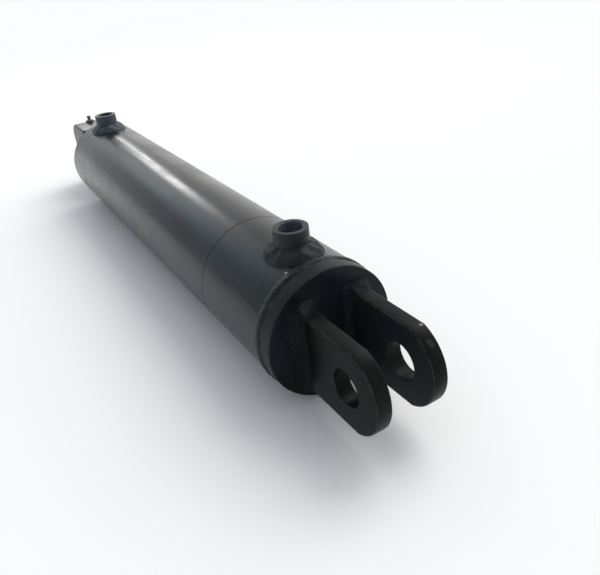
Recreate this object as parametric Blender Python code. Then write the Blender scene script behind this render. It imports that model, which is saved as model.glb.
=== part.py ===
"""Clevis hydraulic cylinder: welded barrel, two ports, a rod that slides and turns.

The origin is the middle of the base pin hole. +X runs along the barrel to the rod
end, +Z points up through the ports, and the pin holes run along Y. Metres.
"""

import math

import bmesh
import bpy

# Start from an empty scene
for old_object in list(bpy.data.objects):
    bpy.data.objects.remove(old_object, do_unlink=True)

# Gap left between pieces that touch
CLEARANCE = 0.0003

# How far a cutter runs past the face it cuts
CUTTER_OVERRUN = 0.005

# Edges that turn by more than this many degrees stay sharp
SHARP_ANGLE_DEGREES = 32.0

# Facets round the turned pieces
BARREL_SEGMENTS = 48
WELD_SEGMENTS = 56
INNER_SEGMENTS = 36
RING_SEGMENTS = 28
PIN_HOLE_SEGMENTS = 36
BOSS_SEGMENTS = 36
NUT_SEGMENTS = 24
NIPPLE_SEGMENTS = 24
ROUND_SECTION_STEPS = 6

# Barrel tube
BARREL_RADIUS = 0.05715
BARREL_WALL = 0.00635
BARREL_END_FROM_CAP_FACE = 0.6295
BARREL_EDGE_CHAMFER = 0.0008
BORE_LEAD_CHAMFER = 0.0012
SCRIBED_LINE_FROM_CAP_FACE = 0.1269
SCRIBED_LINE_WIDTH = 0.0009
SCRIBED_LINE_DEPTH = 0.00035

# Base cap and the weld round it
CAP_FACE_X = 0.0623
CAP_BAND_WIDTH = 0.0113
CAP_LENGTH = 0.033
CAP_EDGE_CHAMFER = 0.0007
SPIGOT_CHAMFER = 0.001
CAP_WELD_WIDTH = 0.0109
WELD_BEVEL_RUN = 0.0034
CAP_WELD_CROWN = 0.0012
CAP_WELD_UNDERCUT = 0.0009
CAP_WELD_WAVES = 11

# Ripple of the beads: its height on a bead, its share of a fillet's legs, and
# how much of it is the slow wave
WELD_WAVE = 0.0002
FILLET_WAVE = 0.06
SLOW_WAVE_SHARE = 0.6

# Base ears
PIN_HOLE_RADIUS = 0.015
EAR_GAP = 0.0356
EAR_THICKNESS = 0.013
EAR_HALF_HEIGHT = 0.0343
EAR_TIP_FROM_PIN = 0.0363
EAR_TIP_FLAT_HALF_HEIGHT = 0.0029
EAR_EDGE_CHAMFER = 0.0008
EAR_ARC_STEPS = 9

# Fillet weld round the foot of each ear
EAR_WELD_ALONG_EAR = 0.014
EAR_WELD_ALONG_EAR_INSIDE = 0.006
EAR_WELD_ON_CAP_OUTSIDE = 0.008
EAR_WELD_ON_CAP_INSIDE = 0.005
EAR_WELD_ON_CAP_ENDS = 0.005
EAR_WELD_LONG_STEPS = 10
EAR_WELD_SHORT_STEPS = 2
EAR_WELD_CORNER_STEPS = 4
EAR_WELD_WAVES = 9
EAR_WELD_HOLLOW = 0.42
WELD_TOE_THICKNESS = 0.0004

# Port bosses, set on the barrel
PORT_BORE_RADIUS = 0.01015
PORT_BOSS_WALL = 0.0047
PORT_BOSS_ABOVE_BARREL = 0.01935
PORT_MOUTH_CHAMFER = 0.0008
PORT_RIM_CHAMFER = 0.0006
PORT_DRILLING_STEP = 0.00215
BASE_PORT_FROM_CAP_FACE = 0.0483
ROD_END_PORT_FROM_BARREL_END = 0.0372
BOSS_WELD_WIDTH = 0.0094
BOSS_WELD_HEIGHT = 0.0075
BOSS_WELD_SEGMENTS = 44
BOSS_WELD_WIDTH_WAVES = 7
BOSS_WELD_HEIGHT_WAVES = 5

# Crest and hollow of the boss weld's face, as parts of its width and height
BOSS_WELD_CREST = (0.12, 0.92)
BOSS_WELD_HOLLOW = (0.45, 0.42)

# Rod and stroke
ROD_RADIUS = 0.0254
ROD_SPIGOT_STEP = 0.0054
ROD_THREAD_STEP = 0.002
ROD_END_CHAMFER = 0.0015
STROKE = 0.4572
STOP_CLEARANCE = 0.0005
ROD_PAST_NUT = 0.003

# Piston, its nut and its rings
PISTON_PLAY = 0.0008
PISTON_LENGTH = 0.045
PISTON_CHAMFER = 0.001
NUT_LENGTH = 0.025
NUT_WALL = 0.0095
NUT_CHAMFER = 0.0015
GUIDE_RING_WIDTH = 0.010
GUIDE_RING_THICKNESS = 0.0025
GUIDE_RING_FROM_PISTON_END = 0.0035
PISTON_SEAL_WIDTH = 0.008
PISTON_SEAL_THICKNESS = 0.0038
ENERGISER_WIDTH = 0.0056
ENERGISER_THICKNESS = 0.003
PISTON_O_RING_THICKNESS = 0.0024

# Gland and its rings
GLAND_RECESS = 0.009
GLAND_SNOUT_STEP = 0.0088
GLAND_LAND_LENGTH = 0.0173
GLAND_BORE_PLAY = 0.0008
GLAND_CHAMFER = 0.0006
RETAINING_RING_THICKNESS = 0.003
RETAINING_RING_WIDTH = 0.005
RETAINING_RING_IN_WALL = 0.0017
RETAINING_RING_GAP_DEGREES = 22.0
GLAND_O_RING_THICKNESS = 0.0031
BACKUP_RING_WIDTH = 0.0026
ROD_GUIDE_WIDTH = 0.015
ROD_GUIDE_THICKNESS = 0.0024
BUFFER_SEAL_WIDTH = 0.006
BUFFER_SEAL_THICKNESS = 0.0045
ROD_SEAL_WIDTH = 0.009
ROD_SEAL_THICKNESS = 0.0052
WIPER_WIDTH = 0.006
WIPER_THICKNESS = 0.005
WIPER_LIP = 0.0018
GLAND_LAND_BETWEEN_GROOVES = 0.0036

# Rod eye, its weld and its grease nipple
EYE_WELD_FROM_BARREL_END = 0.017
EYE_HALF_THICKNESS = 0.0254
EYE_HALF_HEIGHT = 0.044
EYE_SHOULDER_HALF_HEIGHT = 0.027
EYE_SHOULDER_START_FROM_WELD = 0.0062
EYE_SHOULDER_LENGTH = 0.0115
EYE_PIN_FROM_BARREL_END = 0.087
EYE_TIP_FROM_PIN = 0.0363
EYE_TIP_FLAT_HALF_HEIGHT = 0.0115
EYE_EDGE_CHAMFER = 0.0032
EYE_NECK_STEP = 0.0004
EYE_WELD_BEVEL = 0.005
EYE_WELD_CROWN = 0.0011
EYE_WELD_SHOULDER = 0.7
EYE_WELD_WAVES = 6
GREASE_DRILLING_RADIUS = 0.004
NIPPLE_STEM_PLAY = 0.0004
NIPPLE_STEM_LENGTH = 0.006
NIPPLE_HALF_ACROSS_FLATS = 0.0055
NIPPLE_HEX_HEIGHT = 0.0034
NIPPLE_NECK_RADIUS = 0.0023
NIPPLE_HEAD_RADIUS = 0.0033
NIPPLE_HEIGHT = 0.0104
NIPPLE_HEAD_START_BELOW_TOP = 0.0032
NIPPLE_HEAD_FULL_BELOW_TOP = 0.002
NIPPLE_HEAD_ROUNDING = 0.001

# Places along the axis that follow from the sizes above
CAP_INNER_X = CAP_FACE_X + CAP_LENGTH
BARREL_START_X = CAP_FACE_X + CAP_BAND_WIDTH + CAP_WELD_WIDTH
BARREL_END_X = CAP_FACE_X + BARREL_END_FROM_CAP_FACE
SCRIBED_LINE_X = CAP_FACE_X + SCRIBED_LINE_FROM_CAP_FACE
BASE_PORT_X = CAP_FACE_X + BASE_PORT_FROM_CAP_FACE
ROD_END_PORT_X = BARREL_END_X - ROD_END_PORT_FROM_BARREL_END
ROD_INNER_END_X = CAP_INNER_X + STOP_CLEARANCE
NUT_START_X = ROD_INNER_END_X + ROD_PAST_NUT
PISTON_START_X = NUT_START_X + NUT_LENGTH + CLEARANCE
PISTON_END_X = PISTON_START_X + PISTON_LENGTH
PISTON_MIDDLE_X = (PISTON_START_X + PISTON_END_X) / 2
ROD_SHOULDER_X = PISTON_END_X + CLEARANCE
GLAND_START_X = ROD_SHOULDER_X + STROKE + STOP_CLEARANCE
GLAND_END_X = BARREL_END_X - GLAND_RECESS
ROD_OUTER_END_X = BARREL_END_X + EYE_WELD_FROM_BARREL_END
EYE_PIN_X = BARREL_END_X + EYE_PIN_FROM_BARREL_END

# Sizes shared by pieces that fit together
BORE_RADIUS = BARREL_RADIUS - BARREL_WALL
EAR_CORNER_RADIUS = EAR_HALF_HEIGHT - EAR_TIP_FLAT_HALF_HEIGHT
PORT_BOSS_RADIUS = PORT_BORE_RADIUS + PORT_BOSS_WALL
PORT_TOP_Z = BARREL_RADIUS + PORT_BOSS_ABOVE_BARREL
PORT_DRILLING_RADIUS = PORT_BORE_RADIUS - PORT_DRILLING_STEP
ROD_SPIGOT_RADIUS = ROD_RADIUS - ROD_SPIGOT_STEP
ROD_THREAD_RADIUS = ROD_SPIGOT_RADIUS - ROD_THREAD_STEP
PISTON_RADIUS = BORE_RADIUS - PISTON_PLAY
NUT_HALF_ACROSS_FLATS = ROD_THREAD_RADIUS + NUT_WALL
GLAND_SNOUT_RADIUS = BORE_RADIUS - GLAND_SNOUT_STEP
RETAINING_RING_OUTER_RADIUS = BORE_RADIUS + RETAINING_RING_IN_WALL
RETAINING_RING_INNER_RADIUS = RETAINING_RING_OUTER_RADIUS - RETAINING_RING_WIDTH
EYE_CORNER_RADIUS = EYE_HALF_HEIGHT - EYE_TIP_FLAT_HALF_HEIGHT
EYE_NECK_RADIUS = ROD_RADIUS - EYE_NECK_STEP
NIPPLE_STEM_RADIUS = GREASE_DRILLING_RADIUS - NIPPLE_STEM_PLAY
SPIGOT_RADIUS = BORE_RADIUS - CLEARANCE
SLIDING_RING_RADIUS = BORE_RADIUS - CLEARANCE
GLAND_LAND_RADIUS = BORE_RADIUS - CLEARANCE
ROD_RING_RADIUS = ROD_RADIUS + CLEARANCE
GLAND_BORE_RADIUS = ROD_RADIUS + GLAND_BORE_PLAY
PISTON_BORE_RADIUS = ROD_SPIGOT_RADIUS + CLEARANCE

# Colours as linear values, with roughness and metallic
BLACK_PAINT = ((0.012, 0.013, 0.015), 0.22, 0.0)
WELD_PAINT = ((0.014, 0.015, 0.017), 0.34, 0.0)
MACHINED_STEEL = ((0.36, 0.37, 0.39), 0.32, 1.0)
CHROME = ((0.60, 0.61, 0.63), 0.12, 1.0)
CAST_IRON = ((0.16, 0.16, 0.17), 0.48, 1.0)
SPRING_STEEL = ((0.20, 0.21, 0.23), 0.35, 1.0)
ZINC = ((0.42, 0.41, 0.36), 0.35, 1.0)
BLUE_POLYURETHANE = ((0.02, 0.11, 0.30), 0.45, 0.0)
BLACK_RUBBER = ((0.010, 0.010, 0.010), 0.60, 0.0)
BRONZE_FILLED_PTFE = ((0.16, 0.08, 0.035), 0.50, 0.0)
GREEN_PHENOLIC = ((0.05, 0.14, 0.07), 0.55, 0.0)


def make_material(name, finish):
    """Return a Principled material with a colour, a roughness and a metallic value."""
    colour, roughness, metallic = finish
    material = bpy.data.materials.new(name)
    material.use_nodes = True
    shader = material.node_tree.nodes["Principled BSDF"]
    shader.inputs["Base Color"].default_value = (*colour, 1.0)
    shader.inputs["Roughness"].default_value = roughness
    shader.inputs["Metallic"].default_value = metallic
    material.diffuse_color = (*colour, 1.0)
    return material


def loft(name, rings, closed):
    """Join rings of points into a closed mesh: a loop of rings, or a capped row."""
    shape = bmesh.new()
    rows = [[shape.verts.new(point) for point in ring] for ring in rings]
    pairs = list(zip(rows, rows[1:]))
    if closed:
        pairs.append((rows[-1], rows[0]))
    else:
        shape.faces.new(rows[0])
        shape.faces.new(rows[-1])
    for first, second in pairs:
        count = len(first)
        for index in range(count):
            after = (index + 1) % count
            corners = (first[index], first[after], second[after], second[index])
            shape.faces.new(corners)
    bmesh.ops.recalc_face_normals(shape, faces=shape.faces)
    mesh = bpy.data.meshes.new(name)
    shape.to_mesh(mesh)
    shape.free()
    mesh.shade_smooth()
    mesh.set_sharp_from_angle(angle=math.radians(SHARP_ANGLE_DEGREES))
    return mesh


def circle_angles(segments):
    """Return evenly spaced angles round a full turn."""
    return [2 * math.pi * index / segments for index in range(segments)]


def inner(radius, segments):
    """Return the corner radius of a faceted bore whose facets clear the radius."""
    return radius / math.cos(math.pi / segments)


def hexagon(angle, half_across_flats):
    """Return the radius of a hexagon at an angle, from half its width across flats."""
    from_flat = (angle + math.pi / 6) % (math.pi / 3) - math.pi / 6
    return half_across_flats / math.cos(from_flat)


def turned(name, profile, segments, closed=True, shape=None, axis='X'):
    """Turn a profile of (place along the axis, radius) round the X or the Z axis.

    shape(index, angle, radius) may change the radius of a profile point by angle.
    """
    rings = []
    for index, (along, radius) in enumerate(profile):
        ring = []
        for angle in circle_angles(segments):
            out = shape(index, angle, radius) if shape else radius
            first = out * math.cos(angle)
            second = out * math.sin(angle)
            ring.append((along, first, second) if axis == 'X' else (first, second, along))
        rings.append(ring)
    return loft(name, rings, closed)


def square_ring(name, start, end, inside, outside, segments=RING_SEGMENTS):
    """Make a ring of rectangular section round X, from start to end."""
    corner = inner(inside, segments)
    profile = [(start, corner), (start, outside), (end, outside), (end, corner)]
    return turned(name, profile, segments)


def round_ring(name, middle, inside, width, thickness, segments=RING_SEGMENTS):
    """Make a ring of round or oval section round X, its middle at x = middle."""
    corner = inner(inside, segments)
    outside = inside + thickness
    section = []
    for step in range(ROUND_SECTION_STEPS):
        angle = 2 * math.pi * (step + 0.5) / ROUND_SECTION_STEPS
        x = middle + width / 2 * math.cos(angle)
        radius = (corner + outside) / 2 + (outside - corner) / 2 * math.sin(angle)
        section.append((x, radius))
    return turned(name, section, segments)


def add_piece(name, mesh, finish, location=(0, 0, 0), parent=None):
    """Link a mesh as a named piece with its own material."""
    piece = bpy.data.objects.new(name, mesh)
    bpy.context.scene.collection.objects.link(piece)
    piece.location = location
    piece.parent = parent
    if not mesh.materials:
        mesh.materials.append(make_material(name + "_finish", finish))
    return piece


def add_cutter(name, mesh, location=(0, 0, 0), parent=None):
    """Link a mesh as a hidden tool for a Boolean modifier."""
    cutter = bpy.data.objects.new(name, mesh)
    bpy.context.scene.collection.objects.link(cutter)
    cutter.location = location
    cutter.parent = parent
    cutter.hide_render = True
    cutter.display_type = 'WIRE'
    return cutter


def combine(piece, tool, operation):
    """Cut a tool out of a piece, or join it on, with an exact Boolean."""
    modifier = piece.modifiers.new(operation.title() + " " + tool.name, 'BOOLEAN')
    modifier.operation = operation
    modifier.solver = 'EXACT'
    modifier.object = tool


def add_axis(name, location, parent=None):
    """Add an empty on the joint axis for the pieces that move together."""
    axis = bpy.data.objects.new(name, None)
    bpy.context.scene.collection.objects.link(axis)
    axis.location = location
    axis.parent = parent
    return axis


def wave(angle, turns, phase):
    """Return an uneven ripple between -1 and 1 that closes on itself in a turn."""
    slow = math.sin(turns * angle + phase)
    fast = math.sin((2 * turns + 3) * angle + 2 * phase)
    return SLOW_WAVE_SHARE * slow + (1 - SLOW_WAVE_SHARE) * fast


def rounded_tip(foot, tip, half_height, corner_radius, inset):
    """Return an outline in x and z that runs round a plate's rounded tip at -X."""
    radius = corner_radius - inset
    centre_x = tip + corner_radius
    centre_z = half_height - corner_radius
    points = [(foot, half_height - inset)]
    for step in range(EAR_ARC_STEPS + 1):
        angle = math.pi / 2 * (1 + step / EAR_ARC_STEPS)
        x = centre_x + radius * math.cos(angle)
        z = centre_z + radius * math.sin(angle)
        points.append((x, z))
    lower = [(x, -z) for x, z in reversed(points)]
    return points + lower


def plate(name, outline, half_thickness, chamfer):
    """Extrude an outline(inset) in x and z along Y, with chamfered edges."""
    levels = (
        (-half_thickness, chamfer),
        (chamfer - half_thickness, 0),
        (half_thickness - chamfer, 0),
        (half_thickness, chamfer),
    )
    rings = []
    for y, inset in levels:
        rings.append([(x, y, z) for x, z in outline(inset)])
    return loft(name, rings, closed=False)


def pin_cutter_mesh(name, half_length):
    """Return a cylinder along Y that bores a pin hole."""
    rings = []
    for y in (-half_length, half_length):
        ring = []
        for angle in circle_angles(PIN_HOLE_SEGMENTS):
            corner = inner(PIN_HOLE_RADIUS, PIN_HOLE_SEGMENTS)
            ring.append((corner * math.cos(angle), y, corner * math.sin(angle)))
        rings.append(ring)
    return loft(name, rings, closed=False)


def barrel_height(across, gap):
    """Return the height of the barrel's round surface, plus a gap, at a Y offset."""
    return math.sqrt((BARREL_RADIUS + gap) ** 2 - across ** 2)


def make_barrel():
    """Make the tube with its scribed line, retaining groove and port drillings."""
    bore = inner(BORE_RADIUS, BARREL_SEGMENTS)
    half_line = SCRIBED_LINE_WIDTH / 2
    groove_end = GLAND_END_X + RETAINING_RING_THICKNESS + 2 * CLEARANCE
    groove_radius = RETAINING_RING_OUTER_RADIUS + CLEARANCE
    groove = inner(groove_radius, BARREL_SEGMENTS)
    profile = [
        (BARREL_START_X - WELD_BEVEL_RUN, bore),
        (BARREL_START_X, BARREL_RADIUS),
        (SCRIBED_LINE_X - half_line, BARREL_RADIUS),
        (SCRIBED_LINE_X, BARREL_RADIUS - SCRIBED_LINE_DEPTH),
        (SCRIBED_LINE_X + half_line, BARREL_RADIUS),
        (BARREL_END_X - BARREL_EDGE_CHAMFER, BARREL_RADIUS),
        (BARREL_END_X, BARREL_RADIUS - BARREL_EDGE_CHAMFER),
        (BARREL_END_X, bore + BORE_LEAD_CHAMFER),
        (BARREL_END_X - BORE_LEAD_CHAMFER, bore),
        (groove_end, bore),
        (groove_end, groove),
        (GLAND_END_X, groove),
        (GLAND_END_X, bore),
    ]
    tube = add_piece(
        "barrel_tube", turned("barrel_tube", profile, BARREL_SEGMENTS), BLACK_PAINT)
    heights = (BORE_RADIUS / 2, BARREL_RADIUS + CUTTER_OVERRUN)
    drill_profile = [(height, PORT_DRILLING_RADIUS) for height in heights]
    drill = turned(
        "port_drilling", drill_profile, BOSS_SEGMENTS, closed=False, axis='Z')
    for name, x in (("base_drilling", BASE_PORT_X), ("rod_end_drilling", ROD_END_PORT_X)):
        combine(tube, add_cutter(name, drill, (x, 0, 0)), 'DIFFERENCE')


def make_base_cap():
    """Make the round plate with a spigot in the bore, and the weld in its groove."""
    band_end = CAP_FACE_X + CAP_BAND_WIDTH
    spigot_start = band_end + WELD_BEVEL_RUN
    cap_profile = [
        (CAP_FACE_X, BARREL_RADIUS - CAP_EDGE_CHAMFER),
        (CAP_FACE_X + CAP_EDGE_CHAMFER, BARREL_RADIUS),
        (band_end, BARREL_RADIUS),
        (spigot_start, SPIGOT_RADIUS),
        (CAP_INNER_X - SPIGOT_CHAMFER, SPIGOT_RADIUS),
        (CAP_INNER_X, SPIGOT_RADIUS - SPIGOT_CHAMFER),
    ]
    cap_mesh = turned("base_cap", cap_profile, BARREL_SEGMENTS, closed=False)
    add_piece("base_cap", cap_mesh, BLACK_PAINT)

    lean = WELD_BEVEL_RUN / (BARREL_RADIUS - SPIGOT_RADIUS)
    crown = BARREL_RADIUS + CAP_WELD_CROWN
    root = inner(SPIGOT_RADIUS + CLEARANCE, WELD_SEGMENTS)
    toe_start = band_end + CLEARANCE + lean * CAP_WELD_UNDERCUT
    toe_end = BARREL_START_X - CLEARANCE
    quarter = (toe_end - toe_start) / 4
    weld_profile = [
        (band_end + CLEARANCE + lean * (BARREL_RADIUS - root), root),
        (toe_start, BARREL_RADIUS - CAP_WELD_UNDERCUT),
        (toe_start + quarter / 2, BARREL_RADIUS + CAP_WELD_CROWN / 3),
        (toe_start + quarter, crown - WELD_WAVE),
        (toe_start + 2 * quarter, crown),
        (toe_start + 3 * quarter, crown - WELD_WAVE),
        (toe_end, BARREL_RADIUS),
        (toe_end - WELD_BEVEL_RUN, root),
    ]

    def rippled(index, angle, radius):
        """Raise and lower the crown, and leave the root and the toes round."""
        if index in (0, 1, 6, 7):
            return radius
        return radius + WELD_WAVE * wave(angle, CAP_WELD_WAVES, index)

    weld_mesh = turned("cap_weld_bead", weld_profile, WELD_SEGMENTS, shape=rippled)
    add_piece("cap_weld_bead", weld_mesh, WELD_PAINT)


def foot_path():
    """Return points and outward directions round an ear's foot, in Y and Z."""
    half_thickness = EAR_THICKNESS / 2
    corners = (
        (half_thickness, EAR_HALF_HEIGHT, 0.0),
        (-half_thickness, EAR_HALF_HEIGHT, 0.5),
        (-half_thickness, -EAR_HALF_HEIGHT, 1.0),
        (half_thickness, -EAR_HALF_HEIGHT, 1.5),
    )
    path = []
    for index, (y, z, turn) in enumerate(corners):
        for step in range(EAR_WELD_CORNER_STEPS + 1):
            angle = math.pi * (turn + 0.5 * step / EAR_WELD_CORNER_STEPS)
            path.append((y, z, math.cos(angle), math.sin(angle)))
        next_y, next_z, _ = corners[(index + 1) % len(corners)]
        steps = EAR_WELD_SHORT_STEPS if index % 2 == 0 else EAR_WELD_LONG_STEPS
        angle = math.pi * (turn + 0.5)
        for step in range(1, steps):
            part = step / steps
            between = (y + (next_y - y) * part, z + (next_z - z) * part)
            path.append((*between, math.cos(angle), math.sin(angle)))
    return path


def ear_weld_mesh():
    """Make the fillet round the foot of the ear at +Y, with unequal legs."""
    rings = []
    path = foot_path()
    for index, (y, z, out_y, out_z) in enumerate(path):
        outside = max(out_y, 0) ** 2
        inside = max(-out_y, 0) ** 2
        ends = out_z ** 2
        around = 2 * math.pi * index / len(path)
        ripple = 1 + FILLET_WAVE * wave(around, EAR_WELD_WAVES, 1)
        on_cap = ripple * (
            EAR_WELD_ON_CAP_OUTSIDE * outside
            + EAR_WELD_ON_CAP_INSIDE * inside
            + EAR_WELD_ON_CAP_ENDS * ends)
        along_ear = ripple * (
            EAR_WELD_ALONG_EAR * (outside + ends)
            + EAR_WELD_ALONG_EAR_INSIDE * inside)
        section = (
            (CLEARANCE, CLEARANCE),
            (CLEARANCE, along_ear),
            (CLEARANCE + WELD_TOE_THICKNESS, along_ear),
            (EAR_WELD_HOLLOW * on_cap, EAR_WELD_HOLLOW * along_ear),
            (on_cap, CLEARANCE + WELD_TOE_THICKNESS),
            (on_cap, CLEARANCE),
        )
        ring = []
        for out, along in section:
            ring.append((CAP_FACE_X - along, y + out * out_y, z + out * out_z))
        rings.append(ring)
    return loft("ear_weld", rings, closed=True)


def make_base_ears():
    """Make the two ears, bored for one pin, and the weld round the foot of each."""

    def outline(inset):
        """Return the ear's outline, with its foot just clear of the cap."""
        foot = CAP_FACE_X - CLEARANCE
        return rounded_tip(
            foot, -EAR_TIP_FROM_PIN, EAR_HALF_HEIGHT, EAR_CORNER_RADIUS, inset)

    ear_mesh = plate("base_ear", outline, EAR_THICKNESS / 2, EAR_EDGE_CHAMFER)
    weld_mesh = ear_weld_mesh()
    reach = EAR_GAP / 2 + EAR_THICKNESS + CUTTER_OVERRUN
    pin = add_cutter("base_pin_cutter", pin_cutter_mesh("base_pin_cutter", reach))
    middle = (EAR_GAP + EAR_THICKNESS) / 2
    for side, turn in ((1, 0), (-1, math.pi)):
        label = "left" if side > 0 else "right"
        place = (0, side * middle, 0)
        ear = add_piece("base_ear_" + label, ear_mesh, BLACK_PAINT, place)
        combine(ear, pin, 'DIFFERENCE')
        weld = add_piece("base_ear_" + label + "_weld", weld_mesh, WELD_PAINT, place)
        weld.rotation_euler.x = turn


def boss_mesh():
    """Make a round boss whose foot is a saddle that follows the barrel."""
    bore = inner(PORT_BORE_RADIUS, BOSS_SEGMENTS)
    rim = PORT_BOSS_RADIUS - PORT_RIM_CHAMFER
    levels = (
        (PORT_BOSS_RADIUS, None),
        (PORT_BOSS_RADIUS, PORT_TOP_Z - PORT_RIM_CHAMFER),
        (rim, PORT_TOP_Z),
        (bore + PORT_MOUTH_CHAMFER, PORT_TOP_Z),
        (bore, PORT_TOP_Z - PORT_MOUTH_CHAMFER),
        (bore, None),
    )
    rings = []
    for radius, level in levels:
        ring = []
        for angle in circle_angles(BOSS_SEGMENTS):
            y = radius * math.sin(angle)
            z = barrel_height(y, CLEARANCE) if level is None else level
            ring.append((radius * math.cos(angle), y, z))
        rings.append(ring)
    return loft("port_boss", rings, closed=True)


def boss_weld_mesh():
    """Make the saddle-shaped fillet that runs round a boss on the round barrel.

    Each section stands on the barrel's own curve, so the toe rises and falls with
    it, and the two legs swell and shrink along the run as a hand-laid bead does.
    """
    wall = inner(PORT_BOSS_RADIUS + CLEARANCE, BOSS_WELD_SEGMENTS)
    angles = circle_angles(BOSS_WELD_SEGMENTS)
    crest_out, crest_up = BOSS_WELD_CREST
    hollow_out, hollow_up = BOSS_WELD_HOLLOW
    sections = []
    for angle in angles:
        width_ripple = wave(angle, BOSS_WELD_WIDTH_WAVES, 0.5)
        height_ripple = wave(angle, BOSS_WELD_HEIGHT_WAVES, 2)
        width = BOSS_WELD_WIDTH * (1 + FILLET_WAVE * width_ripple)
        height = BOSS_WELD_HEIGHT * (1 + FILLET_WAVE * height_ripple)
        section = (
            (0, CLEARANCE),
            (0, height),
            (crest_out * width, crest_up * height),
            (hollow_out * width, hollow_up * height),
            (width, CLEARANCE + WELD_TOE_THICKNESS),
            (width, CLEARANCE),
            (width / 2, CLEARANCE),
        )
        sections.append(section)
    rings = []
    for level in range(len(sections[0])):
        ring = []
        for angle, section in zip(angles, sections):
            out, up = section[level]
            radius = wall + out
            y = radius * math.sin(angle)
            ring.append((radius * math.cos(angle), y, barrel_height(y, up)))
        rings.append(ring)
    return loft("port_weld", rings, closed=True)


def make_ports():
    """Place a boss and its weld at each end of the barrel."""
    boss = boss_mesh()
    weld = boss_weld_mesh()
    for label, x in (("base", BASE_PORT_X), ("rod_end", ROD_END_PORT_X)):
        add_piece(label + "_port_boss", boss, BLACK_PAINT, (x, 0, 0))
        add_piece(label + "_port_weld", weld, WELD_PAINT, (x, 0, 0))


def make_retaining_ring():
    """Make the split ring that sits in the barrel's groove against the gland."""
    start = GLAND_END_X + CLEARANCE
    end = start + RETAINING_RING_THICKNESS
    section = (
        (start, RETAINING_RING_INNER_RADIUS),
        (start, RETAINING_RING_OUTER_RADIUS),
        (end, RETAINING_RING_OUTER_RADIUS),
        (end, RETAINING_RING_INNER_RADIUS),
    )
    gap = math.radians(RETAINING_RING_GAP_DEGREES)
    rings = []
    for step in range(RING_SEGMENTS + 1):
        angle = gap / 2 + (2 * math.pi - gap) * step / RING_SEGMENTS - math.pi / 2
        ring = [(x, r * math.cos(angle), r * math.sin(angle)) for x, r in section]
        rings.append(ring)
    mesh = loft("gland_retaining_ring", rings, closed=False)
    add_piece("gland_retaining_ring", mesh, SPRING_STEEL)


def gland_grooves():
    """Return name, start, end and floor radius of each groove in the gland's bore."""
    grooves = []
    start = GLAND_START_X + GLAND_LAND_BETWEEN_GROOVES
    rows = (
        ("guide", ROD_GUIDE_WIDTH, ROD_GUIDE_THICKNESS),
        ("buffer", BUFFER_SEAL_WIDTH, BUFFER_SEAL_THICKNESS),
        ("seal", ROD_SEAL_WIDTH, ROD_SEAL_THICKNESS),
    )
    for name, width, thickness in rows:
        end = start + width + 2 * CLEARANCE
        floor = ROD_RING_RADIUS + thickness + CLEARANCE
        grooves.append((name, start, end, floor))
        start = end + GLAND_LAND_BETWEEN_GROOVES
    wiper_start = GLAND_END_X - WIPER_WIDTH - CLEARANCE
    wiper_floor = ROD_RING_RADIUS + WIPER_THICKNESS + CLEARANCE
    grooves.append(("wiper", wiper_start, GLAND_END_X, wiper_floor))
    return grooves


def make_gland():
    """Make the rod bearing, grooved inside for its rings and outside for one seal."""
    bore = inner(GLAND_BORE_RADIUS, INNER_SEGMENTS)
    land_start = GLAND_END_X - GLAND_LAND_LENGTH
    seal_room = GLAND_O_RING_THICKNESS + BACKUP_RING_WIDTH + 4 * CLEARANCE
    groove_start = land_start + (GLAND_LAND_LENGTH - seal_room) / 2
    groove_end = groove_start + seal_room
    groove_floor = GLAND_LAND_RADIUS - GLAND_O_RING_THICKNESS - CLEARANCE
    profile = [
        (GLAND_START_X, bore),
        (GLAND_START_X, GLAND_SNOUT_RADIUS),
        (land_start, GLAND_SNOUT_RADIUS),
        (land_start, GLAND_LAND_RADIUS),
        (groove_start, GLAND_LAND_RADIUS),
        (groove_start, groove_floor),
        (groove_end, groove_floor),
        (groove_end, GLAND_LAND_RADIUS),
        (GLAND_END_X - GLAND_CHAMFER, GLAND_LAND_RADIUS),
        (GLAND_END_X, GLAND_LAND_RADIUS - GLAND_CHAMFER),
    ]
    for name, start, end, floor in reversed(gland_grooves()):
        corner = inner(floor, INNER_SEGMENTS)
        profile.append((end, corner if name == "wiper" else bore))
        if name != "wiper":
            profile.append((end, corner))
        profile.append((start, corner))
        profile.append((start, bore))
    mesh = turned("gland", profile, INNER_SEGMENTS)
    add_piece("gland", mesh, CAST_IRON)

    o_ring_middle = groove_start + CLEARANCE + GLAND_O_RING_THICKNESS / 2
    o_ring = round_ring(
        "gland_o_ring", o_ring_middle, groove_floor + CLEARANCE,
        GLAND_O_RING_THICKNESS, GLAND_O_RING_THICKNESS)
    add_piece("gland_o_ring", o_ring, BLACK_RUBBER)
    backup_end = groove_end - CLEARANCE
    backup = square_ring(
        "gland_backup_ring", backup_end - BACKUP_RING_WIDTH, backup_end,
        groove_floor + CLEARANCE, GLAND_LAND_RADIUS)
    add_piece("gland_backup_ring", backup, BLUE_POLYURETHANE)


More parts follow.
